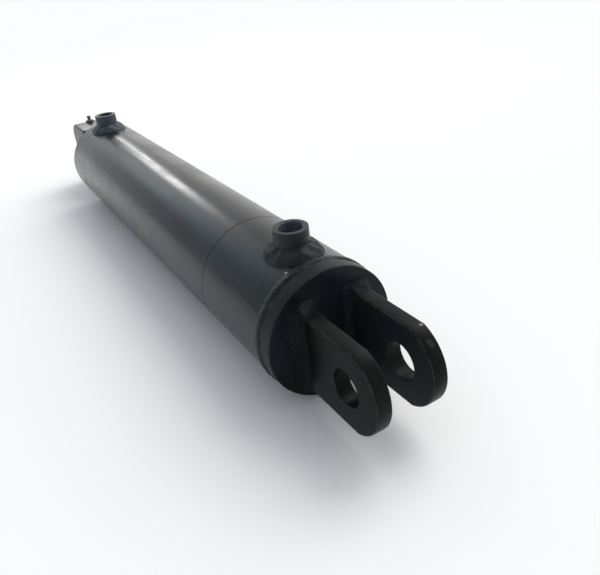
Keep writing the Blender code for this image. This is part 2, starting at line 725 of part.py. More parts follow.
def make_rod_rings():
    """Make the rings that guide, seal and wipe the rod, one in each gland groove."""
    pieces = {
        "guide": ("rod_guide_ring", ROD_GUIDE_THICKNESS, GREEN_PHENOLIC),
        "buffer": ("rod_buffer_seal", BUFFER_SEAL_THICKNESS, BRONZE_FILLED_PTFE),
        "seal": ("rod_seal", ROD_SEAL_THICKNESS, BLUE_POLYURETHANE),
    }
    for kind, start, end, _ in gland_grooves():
        start += CLEARANCE
        if kind in pieces:
            name, thickness, finish = pieces[kind]
            outside = ROD_RING_RADIUS + thickness
            mesh = square_ring(name, start, end - CLEARANCE, ROD_RING_RADIUS, outside)
            add_piece(name, mesh, finish)
            continue
        lip = inner(ROD_RING_RADIUS, RING_SEGMENTS)
        outside = ROD_RING_RADIUS + WIPER_THICKNESS
        profile = [
            (start, lip + WIPER_THICKNESS / 4),
            (start, outside),
            (end, outside),
            (end + WIPER_LIP, lip + WIPER_THICKNESS / 4),
            (end + WIPER_LIP, lip),
            (end, lip),
        ]
        mesh = turned("rod_wiper", profile, RING_SEGMENTS)
        add_piece("rod_wiper", mesh, BLACK_RUBBER)


def piston_layout():
    """Return the starts of the piston's three outer grooves from its middle."""
    guide_room = GUIDE_RING_WIDTH + 2 * CLEARANCE
    seal_room = PISTON_SEAL_WIDTH + 2 * CLEARANCE
    rear_guide = GUIDE_RING_FROM_PISTON_END - PISTON_LENGTH / 2
    front_guide = -rear_guide - guide_room
    return guide_room, seal_room, rear_guide, -seal_room / 2, front_guide


def make_piston_rings(parent):
    """Make the rings that ride in the bore: two guides, the seal and its energiser."""
    _, _, rear_guide, seal_start, front_guide = piston_layout()
    inside = SLIDING_RING_RADIUS - GUIDE_RING_THICKNESS
    for name, groove in (("rear", rear_guide), ("front", front_guide)):
        start = groove + CLEARANCE
        label = "piston_guide_ring_" + name
        mesh = square_ring(
            label, start, start + GUIDE_RING_WIDTH, inside, SLIDING_RING_RADIUS)
        add_piece(label, mesh, GREEN_PHENOLIC, parent=parent)
    seal_inside = SLIDING_RING_RADIUS - PISTON_SEAL_THICKNESS
    start = seal_start + CLEARANCE
    mesh = square_ring(
        "piston_seal", start, start + PISTON_SEAL_WIDTH, seal_inside,
        SLIDING_RING_RADIUS)
    add_piece("piston_seal", mesh, BRONZE_FILLED_PTFE, parent=parent)
    energiser_inside = seal_inside - CLEARANCE - ENERGISER_THICKNESS
    mesh = round_ring(
        "piston_seal_energiser", 0, energiser_inside, ENERGISER_WIDTH,
        ENERGISER_THICKNESS)
    add_piece("piston_seal_energiser", mesh, BLACK_RUBBER, parent=parent)


def make_piston(parent):
    """Make the piston with its grooves, the O-ring in its bore and its nut."""
    guide_room, seal_room, rear_guide, seal_start, front_guide = piston_layout()
    half = PISTON_LENGTH / 2
    guide_floor = SLIDING_RING_RADIUS - GUIDE_RING_THICKNESS - CLEARANCE
    seal_stack = PISTON_SEAL_THICKNESS + ENERGISER_THICKNESS + 2 * CLEARANCE
    seal_floor = SLIDING_RING_RADIUS - seal_stack
    bore = inner(PISTON_BORE_RADIUS, INNER_SEGMENTS)
    o_ring_room = PISTON_O_RING_THICKNESS + 2 * CLEARANCE
    o_ring_floor = inner(PISTON_BORE_RADIUS + o_ring_room, INNER_SEGMENTS)
    profile = [
        (-half, bore),
        (-half, PISTON_RADIUS - PISTON_CHAMFER),
        (PISTON_CHAMFER - half, PISTON_RADIUS),
    ]
    grooves = (
        (rear_guide, guide_room, guide_floor),
        (seal_start, seal_room, seal_floor),
        (front_guide, guide_room, guide_floor),
    )
    for start, room, floor in grooves:
        end = start + room
        profile.append((start, PISTON_RADIUS))
        profile.append((start, floor))
        profile.append((end, floor))
        profile.append((end, PISTON_RADIUS))
    profile.append((half - PISTON_CHAMFER, PISTON_RADIUS))
    profile.append((half, PISTON_RADIUS - PISTON_CHAMFER))
    profile.append((half, bore))
    profile.append((o_ring_room / 2, bore))
    profile.append((o_ring_room / 2, o_ring_floor))
    profile.append((-o_ring_room / 2, o_ring_floor))
    profile.append((-o_ring_room / 2, bore))
    mesh = turned("piston", profile, INNER_SEGMENTS)
    add_piece("piston", mesh, CAST_IRON, parent=parent)

    mesh = round_ring(
        "piston_o_ring", 0, PISTON_BORE_RADIUS, PISTON_O_RING_THICKNESS,
        PISTON_O_RING_THICKNESS)
    add_piece("piston_o_ring", mesh, BLACK_RUBBER, parent=parent)

    nut_bore = inner(ROD_THREAD_RADIUS + CLEARANCE, NUT_SEGMENTS)
    round_face = NUT_HALF_ACROSS_FLATS - NUT_CHAMFER / 3
    nut_profile = [
        (0, nut_bore),
        (0, round_face),
        (NUT_CHAMFER, NUT_HALF_ACROSS_FLATS),
        (NUT_LENGTH - NUT_CHAMFER, NUT_HALF_ACROSS_FLATS),
        (NUT_LENGTH, round_face),
        (NUT_LENGTH, nut_bore),
    ]

    def six_sided(index, angle, radius):
        """Give the two middle levels of the nut their six flats."""
        return hexagon(angle, radius) if index in (2, 3) else radius

    mesh = turned("piston_nut", nut_profile, NUT_SEGMENTS, shape=six_sided)
    start = NUT_START_X - PISTON_MIDDLE_X
    add_piece("piston_nut", mesh, MACHINED_STEEL, (start, 0, 0), parent)


def make_rod(parent):
    """Make the rod: threaded end, piston spigot, plated length and weld bevel."""
    nut_end = NUT_START_X + NUT_LENGTH
    spigot_start = nut_end + CLEARANCE
    profile = [
        (ROD_INNER_END_X, ROD_THREAD_RADIUS - ROD_END_CHAMFER),
        (ROD_INNER_END_X + ROD_END_CHAMFER, ROD_THREAD_RADIUS),
        (spigot_start, ROD_THREAD_RADIUS),
        (spigot_start, ROD_SPIGOT_RADIUS),
        (ROD_SHOULDER_X, ROD_SPIGOT_RADIUS),
        (ROD_SHOULDER_X, ROD_RADIUS - ROD_END_CHAMFER),
        (ROD_SHOULDER_X + ROD_END_CHAMFER, ROD_RADIUS),
        (ROD_OUTER_END_X - EYE_WELD_BEVEL, ROD_RADIUS),
        (ROD_OUTER_END_X, ROD_RADIUS - EYE_WELD_BEVEL),
    ]
    moved = [(x - PISTON_MIDDLE_X, radius) for x, radius in profile]
    mesh = turned("piston_rod", moved, INNER_SEGMENTS, closed=False)
    add_piece("piston_rod", mesh, CHROME, parent=parent)


def make_rod_eye(parent):
    """Make the forged eye with its neck, its pin hole and its grease drilling."""
    place = (EYE_PIN_X - PISTON_MIDDLE_X, 0, 0)
    neck_start = ROD_OUTER_END_X + CLEARANCE - EYE_PIN_X
    block_start = neck_start + EYE_SHOULDER_START_FROM_WELD
    block_full = block_start + EYE_SHOULDER_LENGTH

    def outline(inset):
        """Return the eye's outline, its tip at +X and its shoulders sloping in."""
        tip = rounded_tip(
            -block_full, -EYE_TIP_FROM_PIN, EYE_HALF_HEIGHT, EYE_CORNER_RADIUS, inset)
        mirrored = [(-x, z) for x, z in tip]
        shoulder = EYE_SHOULDER_HALF_HEIGHT - inset
        return [(block_start, shoulder)] + mirrored + [(block_start, -shoulder)]

    eye_mesh = plate("rod_eye", outline, EYE_HALF_THICKNESS, EYE_EDGE_CHAMFER)
    eye = add_piece("rod_eye", eye_mesh, BLACK_PAINT, place, parent)
    neck_profile = [
        (neck_start, EYE_NECK_RADIUS - EYE_WELD_BEVEL),
        (neck_start + EYE_WELD_BEVEL, EYE_NECK_RADIUS),
        (block_full, EYE_NECK_RADIUS),
    ]
    neck_mesh = turned("eye_neck", neck_profile, INNER_SEGMENTS, closed=False)
    combine(eye, add_cutter("eye_neck", neck_mesh, place, parent), 'UNION')
    reach = EYE_HALF_THICKNESS + CUTTER_OVERRUN
    pin_mesh = pin_cutter_mesh("eye_pin_cutter", reach)
    combine(eye, add_cutter("eye_pin_cutter", pin_mesh, place, parent), 'DIFFERENCE')
    drill_profile = [
        (PIN_HOLE_RADIUS / 2, GREASE_DRILLING_RADIUS),
        (EYE_HALF_HEIGHT + CUTTER_OVERRUN, GREASE_DRILLING_RADIUS),
    ]
    drill = turned(
        "eye_drilling", drill_profile, NIPPLE_SEGMENTS, closed=False, axis='Z')
    combine(eye, add_cutter("eye_drilling", drill, place, parent), 'DIFFERENCE')

    middle = ROD_OUTER_END_X + CLEARANCE / 2 - PISTON_MIDDLE_X
    half = EYE_WELD_BEVEL - CLEARANCE
    shoulder = EYE_WELD_SHOULDER * half
    crown = ROD_RADIUS + EYE_WELD_CROWN
    toe = EYE_NECK_RADIUS
    weld_profile = [
        (middle, ROD_RADIUS - EYE_WELD_BEVEL + 2 * CLEARANCE),
        (middle - half, toe),
        (middle - shoulder, crown - 2 * WELD_WAVE),
        (middle, crown),
        (middle + shoulder, crown - 2 * WELD_WAVE),
        (middle + half, toe),
    ]

    def rippled(index, angle, radius):
        """Raise and lower the crown of the bead a little along its run."""
        if index in (0, 1, 5):
            return radius
        return radius + WELD_WAVE * wave(angle, EYE_WELD_WAVES, index)

    weld_mesh = turned("rod_eye_weld", weld_profile, INNER_SEGMENTS, shape=rippled)
    add_piece("rod_eye_weld", weld_mesh, WELD_PAINT, parent=parent)


def make_grease_nipple(parent):
    """Make the nipple that screws into the top of the eye, over the pin hole."""
    seat = EYE_HALF_HEIGHT + CLEARANCE
    hex_top = seat + NIPPLE_HEX_HEIGHT
    top = EYE_HALF_HEIGHT + NIPPLE_HEIGHT
    profile = [
        (EYE_HALF_HEIGHT - NIPPLE_STEM_LENGTH, NIPPLE_STEM_RADIUS),
        (seat, NIPPLE_STEM_RADIUS),
        (seat, NIPPLE_HALF_ACROSS_FLATS),
        (hex_top, NIPPLE_HALF_ACROSS_FLATS),
        (hex_top, NIPPLE_HEAD_RADIUS),
        (top - NIPPLE_HEAD_START_BELOW_TOP, NIPPLE_NECK_RADIUS),
        (top - NIPPLE_HEAD_FULL_BELOW_TOP, NIPPLE_HEAD_RADIUS),
        (top - NIPPLE_HEAD_ROUNDING, NIPPLE_HEAD_RADIUS),
        (top, NIPPLE_NECK_RADIUS),
    ]

    def six_sided(index, angle, radius):
        """Give the two hexagon levels of the nipple their flats."""
        return hexagon(angle, radius) if index in (2, 3) else radius

    mesh = turned(
        "grease_nipple", profile, NIPPLE_SEGMENTS, closed=False, shape=six_sided,
        axis='Z')
    place = (EYE_PIN_X - PISTON_MIDDLE_X, 0, 0)
    add_piece("grease_nipple", mesh, ZINC, place, parent)


def main():
    """Build the fixed barrel, then the two groups that move inside it."""
    make_barrel()
    make_base_cap()
    make_base_ears()
    make_ports()
    make_retaining_ring()
    make_gland()
    make_rod_rings()
    ring_axis = add_axis("piston_rings_axis", (PISTON_MIDDLE_X, 0, 0))
    make_piston_rings(ring_axis)
    rod_axis = add_axis("rod_axis", (0, 0, 0), ring_axis)
    make_piston(rod_axis)
    make_rod(rod_axis)
    make_rod_eye(rod_axis)
    make_grease_nipple(rod_axis)


main()
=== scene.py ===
"""The clevis hydraulic cylinder, dressed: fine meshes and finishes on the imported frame.

The origin is the middle of the base pin hole. +X runs along the barrel to the rod
end and +Z points up through the ports. Lengths are in metres, or in millimetres
where a name ends in mm. A name that ends in deg holds degrees.
"""

import logging
import math
from dataclasses import dataclass
from enum import Enum
from functools import cache
from typing import Callable, Sequence

import bmesh
import bpy
from mathutils import Matrix, Vector, noise


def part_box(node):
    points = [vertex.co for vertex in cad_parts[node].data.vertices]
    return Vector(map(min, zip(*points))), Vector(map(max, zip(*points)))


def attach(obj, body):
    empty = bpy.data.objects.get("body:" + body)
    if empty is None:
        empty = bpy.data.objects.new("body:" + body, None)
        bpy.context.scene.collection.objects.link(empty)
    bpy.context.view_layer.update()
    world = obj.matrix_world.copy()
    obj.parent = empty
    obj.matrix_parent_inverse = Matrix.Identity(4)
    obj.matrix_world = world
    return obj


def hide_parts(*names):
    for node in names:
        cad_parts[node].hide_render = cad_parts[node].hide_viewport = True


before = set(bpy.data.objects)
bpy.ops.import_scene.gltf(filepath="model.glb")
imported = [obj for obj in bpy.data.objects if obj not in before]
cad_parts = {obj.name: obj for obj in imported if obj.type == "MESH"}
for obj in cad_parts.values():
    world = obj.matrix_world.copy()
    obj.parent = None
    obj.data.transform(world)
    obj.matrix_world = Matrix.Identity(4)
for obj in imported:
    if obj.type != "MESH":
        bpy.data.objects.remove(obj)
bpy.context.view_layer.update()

log = logging.getLogger("hydraulic_cylinder")

Pair = tuple[float, float]
Place = tuple[float, float, float]
Corner = tuple[float, float, float]
Rings = list[list[Vector]]
Tree = bpy.types.NodeTree
Node = bpy.types.Node
Socket = bpy.types.NodeSocket
Material = bpy.types.Material
Mesh = bpy.types.Mesh
Piece = bpy.types.Object

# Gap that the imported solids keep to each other, and how deep a dressed piece sinks
# into its neighbour to close it
CAD_GAP = 0.0003
SINK = 0.0004
# The pin holes of the ears and of the rod eye
PIN_HOLE_RADIUS = 0.015
# Edges that turn by more than this are shaded sharp, on a piece and on a rippled weld
SHARP_DEG = 35.0
WELD_SHARP_DEG = 60.0

# The faces along a rounded edge carry this mark. They are narrower than EDGE_WIDTH
# and turn away from both long neighbours by more than EDGE_TURN_DEG
EDGE_MARK = "rubbed_edge"
EDGE_WIDTH = 0.0012
EDGE_TURN_DEG = 12.0
# Rubbing reaches them in broken stretches of this size, where a noise is in this range
WEAR_MM = 8.0
WEAR_RANGE = (0.38, 0.58)

# How far a weld's ripple bows forward in the middle, in pitches
RIPPLE_BOW = 0.8

# The names of a Map Range node's inputs for the two ends of what comes in
MAP_FROM = ("From Min", "From Max")
MAP_TO = ("To Min", "To Max")


class Axis(Enum):
    """The axis that a round piece is turned about."""

    X = 0
    Y = 1
    Z = 2

    def point(self, along: float, across: Pair) -> Vector:
        """Return the point at a place along the axis and two places across it."""
        return Vector((*across[:self.value], along, *across[self.value:]))


class Carving(Enum):
    """What a carving tool does to a piece."""

    CUT = "DIFFERENCE"
    JOIN = "UNION"


class Side(Enum):
    """The sides of the two ears, with the sign of their place along Y."""

    LEFT = 1
    RIGHT = -1


class PortEnd(Enum):
    """The two ends of the barrel that have a port, as the frame's nodes name them."""

    BASE = "base"
    ROD = "rod_end"


class Body(Enum):
    """The bodies of the frame that the dressed pieces ride on."""

    BARREL = "barrel"
    ROD = "rod"


class Slot(Enum):
    """The record's material slots."""

    PAINT = "black_paint"
    WELD = "painted_weld"
    IRON = "cast_iron"
    STEEL = "machined_steel"
    SPRING = "spring_steel"
    CHROME = "chrome_plate"
    ZINC = "zinc_plate"
    POLYURETHANE = "blue_polyurethane"
    PTFE = "bronze_filled_ptfe"
    PHENOLIC = "green_phenolic"
    RUBBER = "black_rubber"


def linear(hex_colour: str) -> tuple[float, float, float, float]:
    """Turn an sRGB hex colour into linear light.

    Args:
        hex_colour: The colour, such as "#101214".

    Returns:
        Red, green, blue and an alpha of 1.
    """
    channels = []
    for start in (1, 3, 5):
        value = int(hex_colour[start:start + 2], 16) / 255
        low = value / 12.92
        high = ((value + 0.055) / 1.055) ** 2.4
        channels.append(low if value <= 0.04045 else high)
    return (*channels, 1.0)


def per_metre(size_mm: float) -> float:
    """Return the texture scale that gives a pattern its real size."""
    return 1000 / size_mm


def add_node(
    tree: Tree,
    kind: str,
    values: dict[str | int, object] | None = None,
    links: dict[str | int, Socket] | None = None,
    **settings: object,
) -> Node:
    """Add a shader node with its settings, its values and its incoming links.

    Args:
        tree: The node tree to add to.
        kind: The node's type, without its ShaderNode prefix.
        values: Input values, by socket name or number.
        links: Outputs to plug in, by input name or number.
        **settings: Properties of the node itself.

    Returns:
        The new node.
    """
    made = tree.nodes.new("ShaderNode" + kind)
    for key, value in settings.items():
        setattr(made, key, value)
    for key, value in (values or {}).items():
        made.inputs[key].default_value = value
    for key, socket in (links or {}).items():
        tree.links.new(socket, made.inputs[key])
    return made


def new_material(name: str) -> tuple[Material, Tree, Node, Socket]:
    """Make a material with nothing but its shader.

    Args:
        name: The material's name.

    Returns:
        The material, its node tree, its Principled shader and the place of the shaded
        point, in metres.
    """
    material = bpy.data.materials.new(name)
    material.use_nodes = True
    tree = material.node_tree
    place = add_node(tree, "TexCoord").outputs["Object"]
    return material, tree, tree.nodes["Principled BSDF"], place


def worn_edges(tree: Tree, place: Socket) -> Socket:
    """Find the raised edges that handling rubs, in broken stretches.

    Args:
        tree: The material's node tree.
        place: Where the shaded point is.

    Returns:
        How worn the finish is, from 0 to 1.
    """
    edge = add_node(tree, "Attribute", attribute_name=EDGE_MARK).outputs["Fac"]
    broken = add_node(
        tree, "TexNoise", {"Scale": per_metre(WEAR_MM), "Detail": 4.0}, {"Vector": place})
    left = add_node(
        tree, "MapRange", dict(zip(MAP_FROM, WEAR_RANGE)), {"Value": broken.outputs["Fac"]})
    return add_node(
        tree, "Math", {}, {0: edge, 1: left.outputs["Result"]},
        operation="MULTIPLY").outputs["Value"]


@dataclass(frozen=True)
class Finish:
    """A finish: its name and the slot of the record that it is taken from."""

    name: str
    slot: Slot

    def build(self) -> Material:
        """Make the material, which each kind of finish does in its own way."""
        raise NotImplementedError


@cache
def material_of(finish: Finish) -> Material:
    """Return a finish's material, made once for all the pieces that share it."""
    return finish.build()


@dataclass(frozen=True)
class ChipOrHighlight:
    """A chip in the enamel, or a painted highlight laid on as a paler spot.

    A chip is where the enamel is knocked thin or off, and shows what is under it. The
    spot is full up to a first share of its radius and ends at a second one. The higher
    its raggedness, the finer the outline.
    """

    place: Place
    radius: float
    colour: str
    raggedness: float = 1.5
    full_share: float = 0.25
    end_share: float = 0.45


@dataclass(frozen=True)
class Enamel(Finish):
    """Alkyd enamel, sprayed black over steel and left to flow out.

    The coat is a near-black gloss. Its orange peel makes highlights grainy, the
    long rolls under it make them wander, and handling leaves duller patches. The
    two ranges say how high the patches' noise is where the haze and the dullness
    start and where they are full.
    """

    colour: str = "#0B0D0F"
    haze: str = "#191C1E"
    worn: str = "#343637"
    roughness: float = 0.2
    roughness_spread: float = 0.12
    ior: float = 1.33
    peel_mm: float = 2.2
    peel_depth_mm: float = 0.004
    roll_mm: float = 45.0
    roll_depth_mm: float = 0.05
    patch_mm: float = 60.0
    haze_range: Pair = (0.38, 0.68)
    dull_range: Pair = (0.3, 0.7)
    lump_mm: float = 0.0
    lump_depth_mm: float = 0.0
    chips_and_highlight: tuple[ChipOrHighlight, ...] = ()

    def build(self) -> Material:
        """Make the enamel's material.

        Returns:
            The material.
        """
        material, tree, shader, place = new_material(self.name)
        shader.inputs["IOR"].default_value = self.ior
        patches = add_node(
            tree, "TexNoise",
            {"Scale": per_metre(self.patch_mm), "Detail": 5.0, "Roughness": 0.62},
            {"Vector": place}).outputs["Fac"]
        share = add_node(
            tree, "MapRange", dict(zip(MAP_FROM, self.haze_range)), {"Value": patches})
        colour = add_node(
            tree, "Mix", {6: linear(self.colour), 7: linear(self.haze)},
            {0: share.outputs["Result"]}, data_type="RGBA").outputs[2]
        colour = add_node(
            tree, "Mix", {7: linear(self.worn)},
            {0: worn_edges(tree, place), 6: colour}, data_type="RGBA").outputs[2]
        for chip_or_highlight in self.chips_and_highlight:
            colour = self.chipped_or_highlit(tree, place, colour, chip_or_highlight)
        tree.links.new(colour, shader.inputs["Base Color"])

        dullest = self.roughness + self.roughness_spread
        ends = zip(MAP_FROM + MAP_TO, (*self.dull_range, self.roughness, dullest))
        rough = add_node(tree, "MapRange", dict(ends), {"Value": patches})
        tree.links.new(rough.outputs["Result"], shader.inputs["Roughness"])

        normal = None
        layers = (
            (self.roll_mm, self.roll_depth_mm, 1.0),
            (self.lump_mm, self.lump_depth_mm, 3.0),
            (self.peel_mm, self.peel_depth_mm, 1.0),
        )
        for size, depth, detail in layers:
            if not size:
                continue
            humps = add_node(
                tree, "TexNoise", {"Scale": per_metre(size), "Detail": detail},
                {"Vector": place})
            links = {"Height": humps.outputs["Fac"]}
            if normal:
                links["Normal"] = normal
            normal = add_node(
                tree, "Bump", {"Distance": depth / 1000}, links).outputs["Normal"]
        tree.links.new(normal, shader.inputs["Normal"])
        return material

    def chipped_or_highlit(self, tree: Tree, place: Socket, colour: Socket, chip_or_highlight: ChipOrHighlight) -> Socket:
        """Lay a chip, or a painted highlight, over a colour.

        Args:
            tree: The material's node tree.
            place: Where the shaded point is.
            colour: The colour without the spot.
            chip_or_highlight: The spot's middle and size.

        Returns:
            The colour with the spot.
        """
        away = add_node(
            tree, "VectorMath", {1: chip_or_highlight.place}, {0: place}, operation="DISTANCE")
        ragged = add_node(
            tree, "TexNoise", {"Scale": chip_or_highlight.raggedness / chip_or_highlight.radius, "Detail": 3.0},
            {"Vector": place})
        edge = add_node(
            tree, "Math", {1: -chip_or_highlight.radius}, {0: ragged.outputs["Fac"]},
            operation="MULTIPLY")
        reach = add_node(
            tree, "Math", {}, {0: away.outputs["Value"], 1: edge.outputs["Value"]},
            operation="ADD")
        ends = (chip_or_highlight.radius * chip_or_highlight.end_share, chip_or_highlight.radius * chip_or_highlight.full_share)
        spot_share = add_node(
            tree, "MapRange", dict(zip(MAP_FROM, ends)), {"Value": reach.outputs["Value"]})
        return add_node(
            tree, "Mix", {7: linear(chip_or_highlight.colour)},
            {0: spot_share.outputs["Result"], 6: colour}, data_type="RGBA").outputs[2]


@dataclass(frozen=True)
class TurnedMetal(Finish):
    """Metal cut or ground on a lathe.

    The tool leaves fine rings round the axis, which stretch a highlight across
    them. The rings are drawn coarser than the real ones so that they show. Stains
    come in over a range of their noise and change the roughness by two shares.
    """

    colour: str
    stain: str
    roughness: float
    ring_mm: float
    ring_depth_mm: float
    metallic: float = 1.0
    stain_mm: float = 25.0
    stain_range: Pair = (0.45, 0.7)
    roughness_shares: Pair = (0.75, 1.4)

    def build(self) -> Material:
        """Make the metal's material.

        Returns:
            The material.
        """
        material, tree, shader, place = new_material(self.name)
        shader.inputs["Metallic"].default_value = self.metallic
        across = add_node(
            tree, "VectorMath", {1: (0.0, 1.0, 1.0)}, {0: place}, operation="MULTIPLY")
        radius = add_node(
            tree, "VectorMath", {}, {0: across.outputs["Vector"]}, operation="LENGTH")
        along = add_node(tree, "SeparateXYZ", {}, {0: place})
        feed = add_node(
            tree, "Math", {}, {0: along.outputs["X"], 1: radius.outputs["Value"]},
            operation="ADD")
        rings = add_node(
            tree, "TexNoise", {"Scale": per_metre(self.ring_mm), "Detail": 2.0},
            {"W": feed.outputs["Value"]}, noise_dimensions="1D")
        stain = add_node(
            tree, "TexNoise", {"Scale": per_metre(self.stain_mm), "Detail": 4.0},
            {"Vector": place}).outputs["Fac"]
        stained = add_node(
            tree, "MapRange", dict(zip(MAP_FROM, self.stain_range)), {"Value": stain})
        dull = add_node(
            tree, "Mix", {6: linear(self.colour), 7: linear(self.stain)},
            {0: stained.outputs["Result"]}, data_type="RGBA").outputs[2]
        bright = add_node(
            tree, "Mix", {7: linear(self.colour)},
            {0: worn_edges(tree, place), 6: dull}, data_type="RGBA").outputs[2]
        tree.links.new(bright, shader.inputs["Base Color"])
        ends = (self.roughness * share for share in self.roughness_shares)
        uneven = add_node(tree, "MapRange", dict(zip(MAP_TO, ends)), {"Value": stain})
        tree.links.new(uneven.outputs["Result"], shader.inputs["Roughness"])
        bump = add_node(
            tree, "Bump", {"Distance": self.ring_depth_mm / 1000},
            {"Height": rings.outputs["Fac"]})
        tree.links.new(bump.outputs["Normal"], shader.inputs["Normal"])
        return material


@dataclass(frozen=True)
class Moulded(Finish):
    """Rubber or plastic from a mould, with the fine grain of the mould's wall.

    The grain breaks the highlight up, and a filler of woven cloth or of bronze
    powder shows as flecks of a second colour over a range of the grain's height.
    """

    colour: str
    fleck: str
    fleck_mm: float
    roughness: float
    fleck_range: Pair = (0.5, 0.75)
    grain_depth_mm: float = 0.02

    def build(self) -> Material:
        """Make the moulded material.

        Returns:
            The material.
        """
        material, tree, shader, place = new_material(self.name)
        shader.inputs["Roughness"].default_value = self.roughness
        grain = add_node(
            tree, "TexNoise", {"Scale": per_metre(self.fleck_mm), "Detail": 4.0},
            {"Vector": place}).outputs["Fac"]
        share = add_node(
            tree, "MapRange", dict(zip(MAP_FROM, self.fleck_range)), {"Value": grain})
        colour = add_node(
            tree, "Mix", {6: linear(self.colour), 7: linear(self.fleck)},
            {0: share.outputs["Result"]}, data_type="RGBA")
        tree.links.new(colour.outputs[2], shader.inputs["Base Color"])
        bump = add_node(
            tree, "Bump", {"Distance": self.grain_depth_mm / 1000}, {"Height": grain})
        tree.links.new(bump.outputs["Normal"], shader.inputs["Normal"])
        return material


# Marks on the flame-cut edge of the right ear: a tan fleck of primer where the crease
# of the tip is knocked, and further down a paler patch that is a painted highlight
CHIPS_AND_HIGHLIGHT = (
    ChipOrHighlight((-0.0119, -0.0275, 0.0343), 0.0016, "#84745B"),
    ChipOrHighlight((-0.0251, -0.0248, 0.0270), 0.0036, "#272D2D"),
)

# A deep black coat with faint orange peel, hazed blue-grey where dust clings
BARREL_ENAMEL = Enamel(
    "gloss_enamel_on_tube", Slot.PAINT, colour="#0A0D12", haze="#1D232A")
# The same coat over a turned face: duller, so the face reads as an even dark blue
CAP_ENAMEL = Enamel(
    "gloss_enamel_on_cap", Slot.PAINT, colour="#111519", haze="#1F252B", ior=1.2,
    roughness=0.26)
# The turned band round that face is a paler grey: painted sheen for the light it catches
BAND_SHEEN_ENAMEL = Enamel(
    "band_enamel_painted_sheen", Slot.PAINT, colour="#262829", haze="#323435", ior=1.15,
    roughness=0.3)
# Thin black over rolled plate, slightly green and wavy, with a lighter worn edge, a
# primer fleck and a painted highlight on the tip's edge
EAR_ENAMEL = Enamel(
    "gloss_enamel_on_plate", Slot.PAINT, colour="#0B0E0D", ior=1.17, roughness=0.28,
    haze="#171B1A", lump_mm=9.0, lump_depth_mm=0.06, chips_and_highlight=CHIPS_AND_HIGHLIGHT)
# Paler, flatter blue-grey in the pocket between the ears: painted fill light
EAR_POCKET_FILL_ENAMEL = Enamel(
    "enamel_between_ears_painted_fill_light", Slot.PAINT, colour="#1E2226", haze="#2B3035", ior=1.2,
    roughness=0.4, lump_mm=9.0, lump_depth_mm=0.06)
# Slate-blue sheen on a turned boss, without the tube's long reflections
BASE_BOSS_ENAMEL = Enamel(
    "gloss_enamel_on_boss", Slot.PAINT, colour="#12181F", haze="#1E252D",
    roughness=0.34, roll_depth_mm=0.02)
# The far boss is matt, a clear grey-blue against the black tube: painted glare
ROD_END_BOSS_GLARE_ENAMEL = Enamel(
    "boss_enamel_painted_glare", Slot.PAINT, colour="#363E49", haze="#48515E",
    roughness=0.4, roll_depth_mm=0.02)
# Warm charcoal with a broken sheen over the ripples of the bead
CAP_WELD_ENAMEL = Enamel(
    "gloss_enamel_on_cap_weld", Slot.WELD, colour="#1E2124", haze="#373B40", ior=1.27,
    roughness=0.42, lump_mm=2.6, lump_depth_mm=0.2)
# Nearly black and dull, lumpy as the torch left it
EAR_WELD_ENAMEL = Enamel(
    "gloss_enamel_on_ear_weld", Slot.WELD, colour="#0E0F10", haze="#1B1D1E", ior=1.14,
    roughness=0.36, lump_mm=3.4, lump_depth_mm=0.25)
# The ear weld's side inside the pocket, with the cheeks' painted fill light
EAR_WELD_POCKET_FILL_ENAMEL = Enamel(
    "ear_weld_enamel_painted_fill_light", Slot.WELD, colour="#1E2226", haze="#2B3035", ior=1.14,
    roughness=0.42, lump_mm=2.6, lump_depth_mm=0.1)
# Soft grey over heavy lumps, with hardly a highlight
BASE_WELD_ENAMEL = Enamel(
    "gloss_enamel_on_boss_weld", Slot.WELD, colour="#232527", haze="#393B3D", ior=1.18,
    roughness=0.42, lump_mm=3.4, lump_depth_mm=0.3)
# Painted glare as on the far boss, a little darker in its ripples
ROD_END_WELD_GLARE_ENAMEL = Enamel(
    "boss_weld_enamel_painted_glare", Slot.WELD, colour="#2C333C", haze="#454E59",
    roughness=0.42, lump_mm=2.6, lump_depth_mm=0.12)
# Black, shiny on each ripple's crest
EYE_WELD_ENAMEL = Enamel(
    "gloss_enamel_on_eye_weld", Slot.WELD, roughness=0.36, lump_mm=2.6,
    lump_depth_mm=0.12)
# Black over the grain of a forging, greyed on its flats
FORGED_ENAMEL = Enamel(
    "gloss_enamel_on_forging", Slot.PAINT, roughness=0.3, haze="#23282C", lump_mm=3.0,
    lump_depth_mm=0.08)
# A near mirror with the faintest rings from grinding
HARD_CHROME = TurnedMetal(
    "hard_chrome", Slot.CHROME, "#C9CCCF", "#BFC3C6", 0.09, 0.35, 0.0012)
# Mid grey, satin, ringed by the tool
GREY_IRON = TurnedMetal(
    "turned_grey_iron", Slot.IRON, "#6E6F71", "#59595B", 0.42, 0.5, 0.012)
# Brighter than the iron, with a light brushed ring pattern
TURNED_STEEL = TurnedMetal(
    "turned_steel", Slot.STEEL, "#A4A6A9", "#8D8F91", 0.3, 0.5, 0.01)
# Dark blue-grey, wet with oil
SPRING_STEEL = TurnedMetal(
    "oiled_spring_steel", Slot.SPRING, "#5C5F64", "#484A4E", 0.32, 0.8, 0.004)
# Weathered zinc: a flat grey
ZINC_PLATE = TurnedMetal(
    "dull_zinc_plate", Slot.ZINC, "#6F7074", "#54565A", 0.5, 0.5, 0.004, metallic=0.5)
# Unpainted thread under an oil film, a dull violet-grey
BARE_THREAD = TurnedMetal(
    "oiled_bare_thread", Slot.STEEL, "#474C58", "#343843", 0.45, 0.5, 0.004, metallic=0.4)
# A bead thrown off the weld, drawn as one pale dot on the black
SPATTER_STEEL = TurnedMetal(
    "pale_spatter", Slot.WELD, "#9EA2A2", "#8B8F8F", 0.5, 0.8, 0.004, metallic=0.0)
